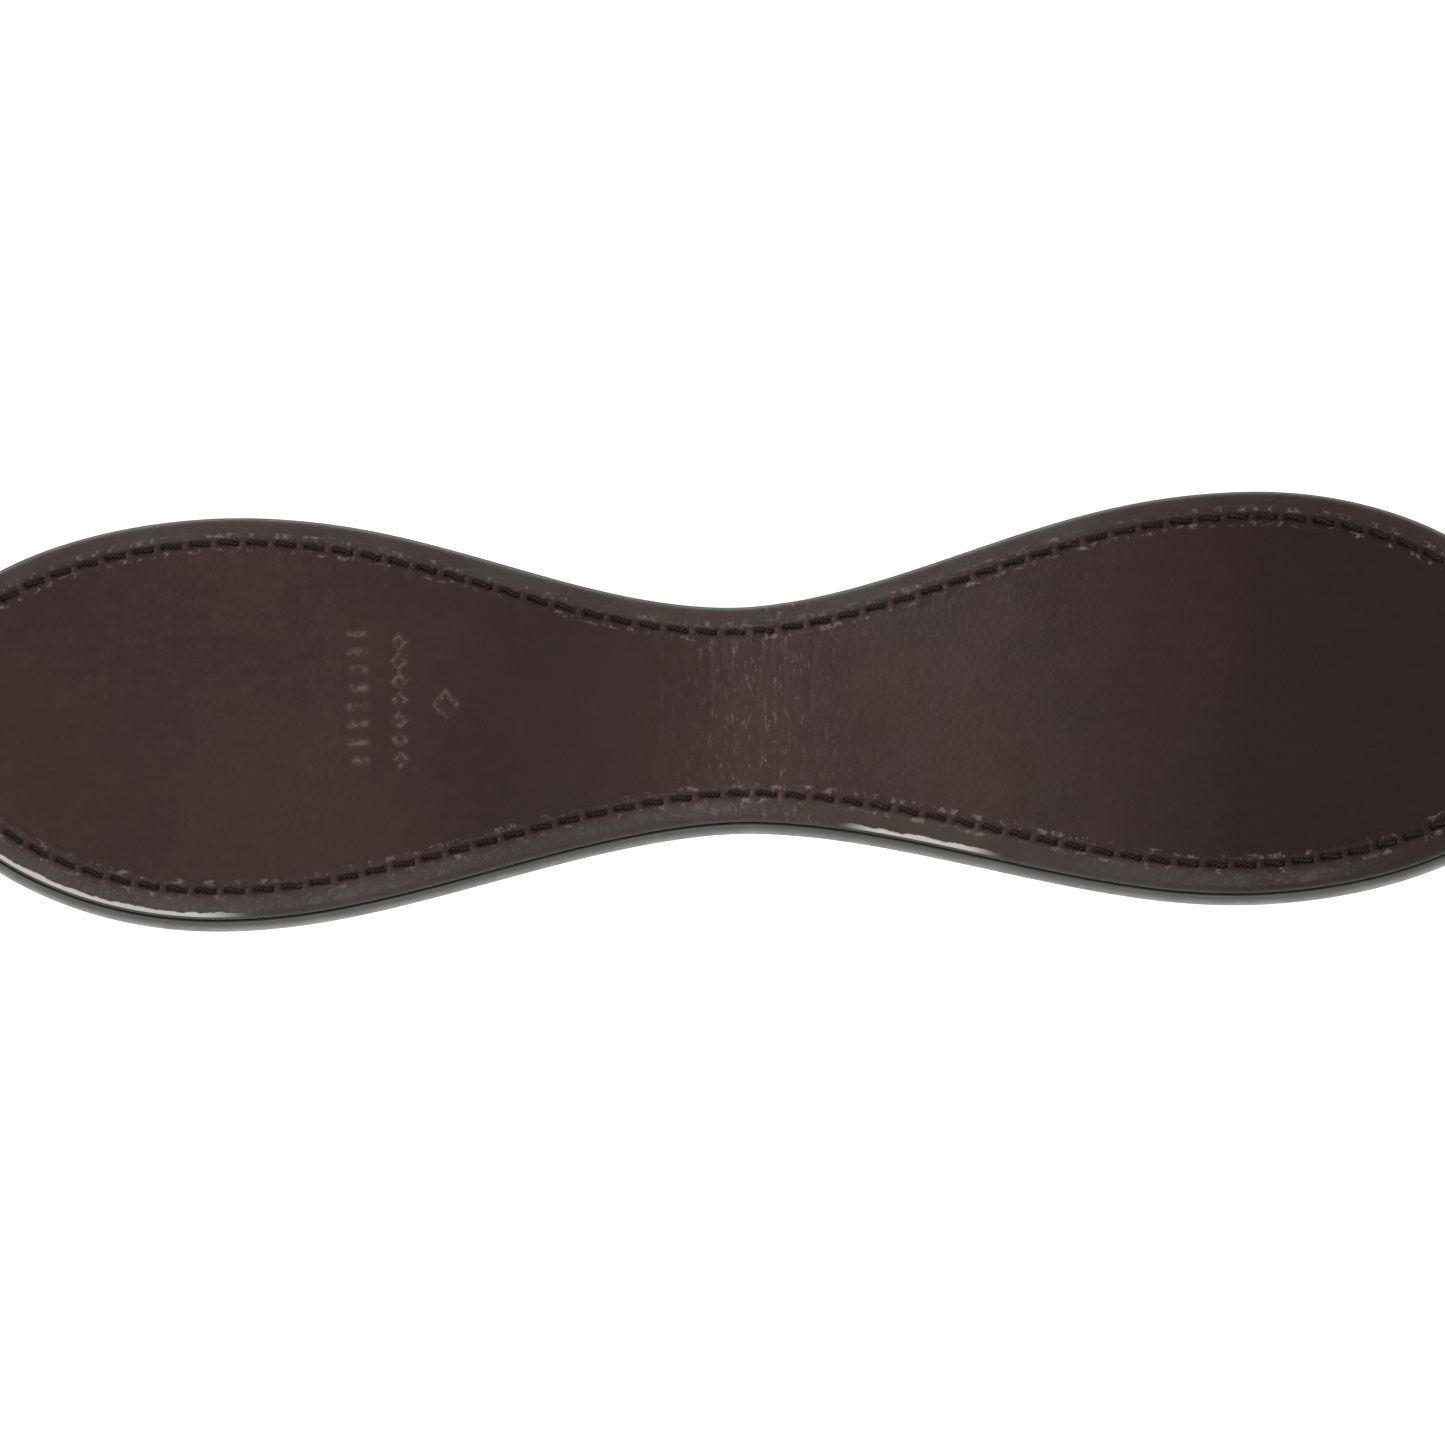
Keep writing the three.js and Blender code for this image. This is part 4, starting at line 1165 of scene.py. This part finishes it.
def rubber_finish():
    finish = Finish("grip_rubber")
    bloom = finish.cloud((180, 5, 0.7), 0.45, 0.8, 0, 0.6)
    colour = finish.mix(bloom, (26, 26, 27), (66, 64, 62))
    dust = finish.spread(finish.cells(1100), 0.0, 0.1, 0.5, 0)
    colour = finish.coats(colour, ((110, 106, 100), dust))
    normal = finish.bump(finish.noise(3000, 3, 0.6), 0.00004, 0.5)
    rough = finish.spread(bloom, 0, 0.6, 0.68, 0.88)
    return finish.surface(Base_Color=colour, Roughness=rough, Normal=normal)


# ---- stage


def make_floor():
    corners = [(-9000, -9000, 0), (9000, -9000, 0), (9000, 9000, 0), (-9000, 9000, 0)]
    floor = new_object(corners, [(0, 1, 2, 3)])
    floor.name = "floor"
    finish = Finish("pale_floor")
    floor.data.materials.append(
        finish.surface(
            Base_Color=(0.93, 0.93, 0.93, 1),
            Roughness=0.95,
            Specular_IOR_Level=0.1,
            Emission_Color=(1, 1, 1, 1),
            Emission_Strength=0.3,
        )
    )


def make_camera():
    """Looks down on the near side of the plate, as the photographer did, from far off."""
    elevation, roll = math.radians(76), math.radians(1.1)
    distance, frame_width = 8.0, 0.1966
    target = Vector((-0.0020, -0.0018, 0.0675))
    data = bpy.data.cameras.new("camera")
    data.sensor_width = 36
    data.lens = data.sensor_width * distance / frame_width
    data.clip_start, data.clip_end = 0.05, 60
    camera = bpy.data.objects.new("camera", data)
    back = Vector((0, -math.cos(elevation), math.sin(elevation)))
    camera.location = target + back * distance
    aim = (-back).to_track_quat("-Z", "Y").to_matrix().to_4x4()
    camera.rotation_euler = (aim @ Matrix.Rotation(-roll, 4, "Z")).to_euler()
    scene.collection.objects.link(camera)
    scene.camera = camera


def area_light(name, place, size, energy):
    """A soft rectangular light aimed at the plate."""
    data = bpy.data.lights.new(name, "AREA")
    data.shape = "RECTANGLE"
    data.size, data.size_y = size
    data.energy = energy
    light = bpy.data.objects.new(name, data)
    light.location = place
    direction = Vector((0, 0, 0.06)) - Vector(place)
    light.rotation_euler = direction.to_track_quat("-Z", "Y").to_euler()
    scene.collection.objects.link(light)


def make_lights():
    world = bpy.data.worlds.new("studio")
    world.use_nodes = True
    sky = world.node_tree.nodes["Background"]
    sky.inputs["Color"].default_value = (1, 1, 1, 1)
    sky.inputs["Strength"].default_value = 0.95
    scene.world = world
    area_light("left_bank", (-0.95, 0.55, 1.0), (0.9, 0.7), 9)
    area_light("near_side", (0.15, -0.75, 1.15), (0.5, 0.3), 4)
    scene.view_settings.view_transform = "Standard"
    scene.view_settings.look = "None"


# ---- assembly


def coat(mesh, material):
    mesh.materials.clear()
    mesh.materials.append(material)


def finish_piece(made, name, body, material, node):
    """Names a piece, gives it its material, ties it to its body, and hides its CAD node."""
    made.name = name
    coat(made.data, material)
    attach(made, body)
    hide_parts(node)


def add_plate():
    thread = thread_finish()
    pad = face_pad()
    layers = [
        (face_leather(), "face_leather", "calf", face_leather_finish()),
        (pad, "face_pad", "foam", foam_finish()),
        (edge_binding(), "edge_binding", "painted", painted_edge_finish()),
        (back_leather(), "back_leather", "suede", suede_finish()),
    ]
    for made, node, kind, material in layers:
        finish_piece(made, f"{node}_{kind}", "plate", material, node)
    for panel, facing, base in (("face", 1, SEAM_TOP + 0.02), ("back", -1, BACK_BOTTOM - 0.02)):
        stitches = seam_stitches(facing, base)
        finish_piece(stitches, panel + "_stitches", "plate", thread, panel + "_thread")
    core = metal_finish("core_aluminium", (196, 198, 202), (150, 152, 156), 0.4)
    coat(frame["nodes"]["core_plate"].data, core)


def add_leg(name, side, finishes):
    """Makes one leg's pieces; finishes holds the materials by slot."""

    def add(made, node, body, slot, x=0):
        """Moves a piece from its leg's frame to its place, and finishes it."""
        made.data.transform(leg @ Matrix.Translation((x * MM, 0, 0)))
        finish_piece(made, node + "_made", body, finishes[slot], node)

    leg = Matrix.Translation((side * LEG_X * MM, 0, PIN_HEIGHT * MM))
    leg @= Matrix.Rotation(0 if side > 0 else math.pi, 4, "Z")
    block, node = saddle(side), "saddle_" + name
    finish_piece(block, node + "_made", "plate", finishes["saddle"], node)
    for place, x in SCREW_PLACES.items():
        node = f"{name}_{place}"
        screw = clamp_screw("clamp_screw_right_" + place)
        add(screw, "clamp_screw_" + node, "plate", "bright_steel", x)
        add(clamp_washer(), "clamp_washer_" + node, "plate", "bright_steel", x)
        coat(frame["nodes"]["threaded_insert_" + node].data, finishes["threaded_insert"])
    for made, node, body, slot in (
        (bracket(), "bracket", "bracket", "black_steel"),
        (hinge_pin(), "hinge_pin", "bracket", "bright_steel"),
        (yoke(), "yoke", "yoke", "black_steel"),
        (height_wheel(), "height_wheel", "height_wheel", "wheel"),
        (leg_screw(), "leg_screw", "leg_screw", "bright_steel"),
        (cap_nut(), "cap_nut", "leg_screw", "bright_steel"),
        (fork(), "fork", "fork", "fork"),
    ):
        add(made, f"{node}_{name}", f"{body}_{name}", slot)
    for end in ("front", "rear"):
        prong_side = side * (-1 if end == "front" else 1)
        add(grip(prong_side), f"grip_{name}_{end}", "fork_" + name, "grip")


make_camera()
make_floor()
make_lights()
add_plate()
leg_finishes = {
    "saddle": moulded_plastic_finish(),
    "threaded_insert": metal_finish("insert_brass", (196, 162, 100), (140, 108, 62), 0.3),
    "bright_steel": metal_finish("nickel_steel", (190, 190, 192), (140, 138, 136), 0.24),
    "black_steel": powder_coat_finish(),
    "wheel": metal_finish("wheel_brass", (206, 168, 98), (146, 108, 58), 0.26),
    "fork": metal_finish("fork_steel", (182, 182, 186), (128, 126, 124), 0.28, (400, 400, 2200)),
    "grip": rubber_finish(),
}
for leg_name, leg_side in SIDES.items():
    add_leg(leg_name, leg_side, leg_finishes)
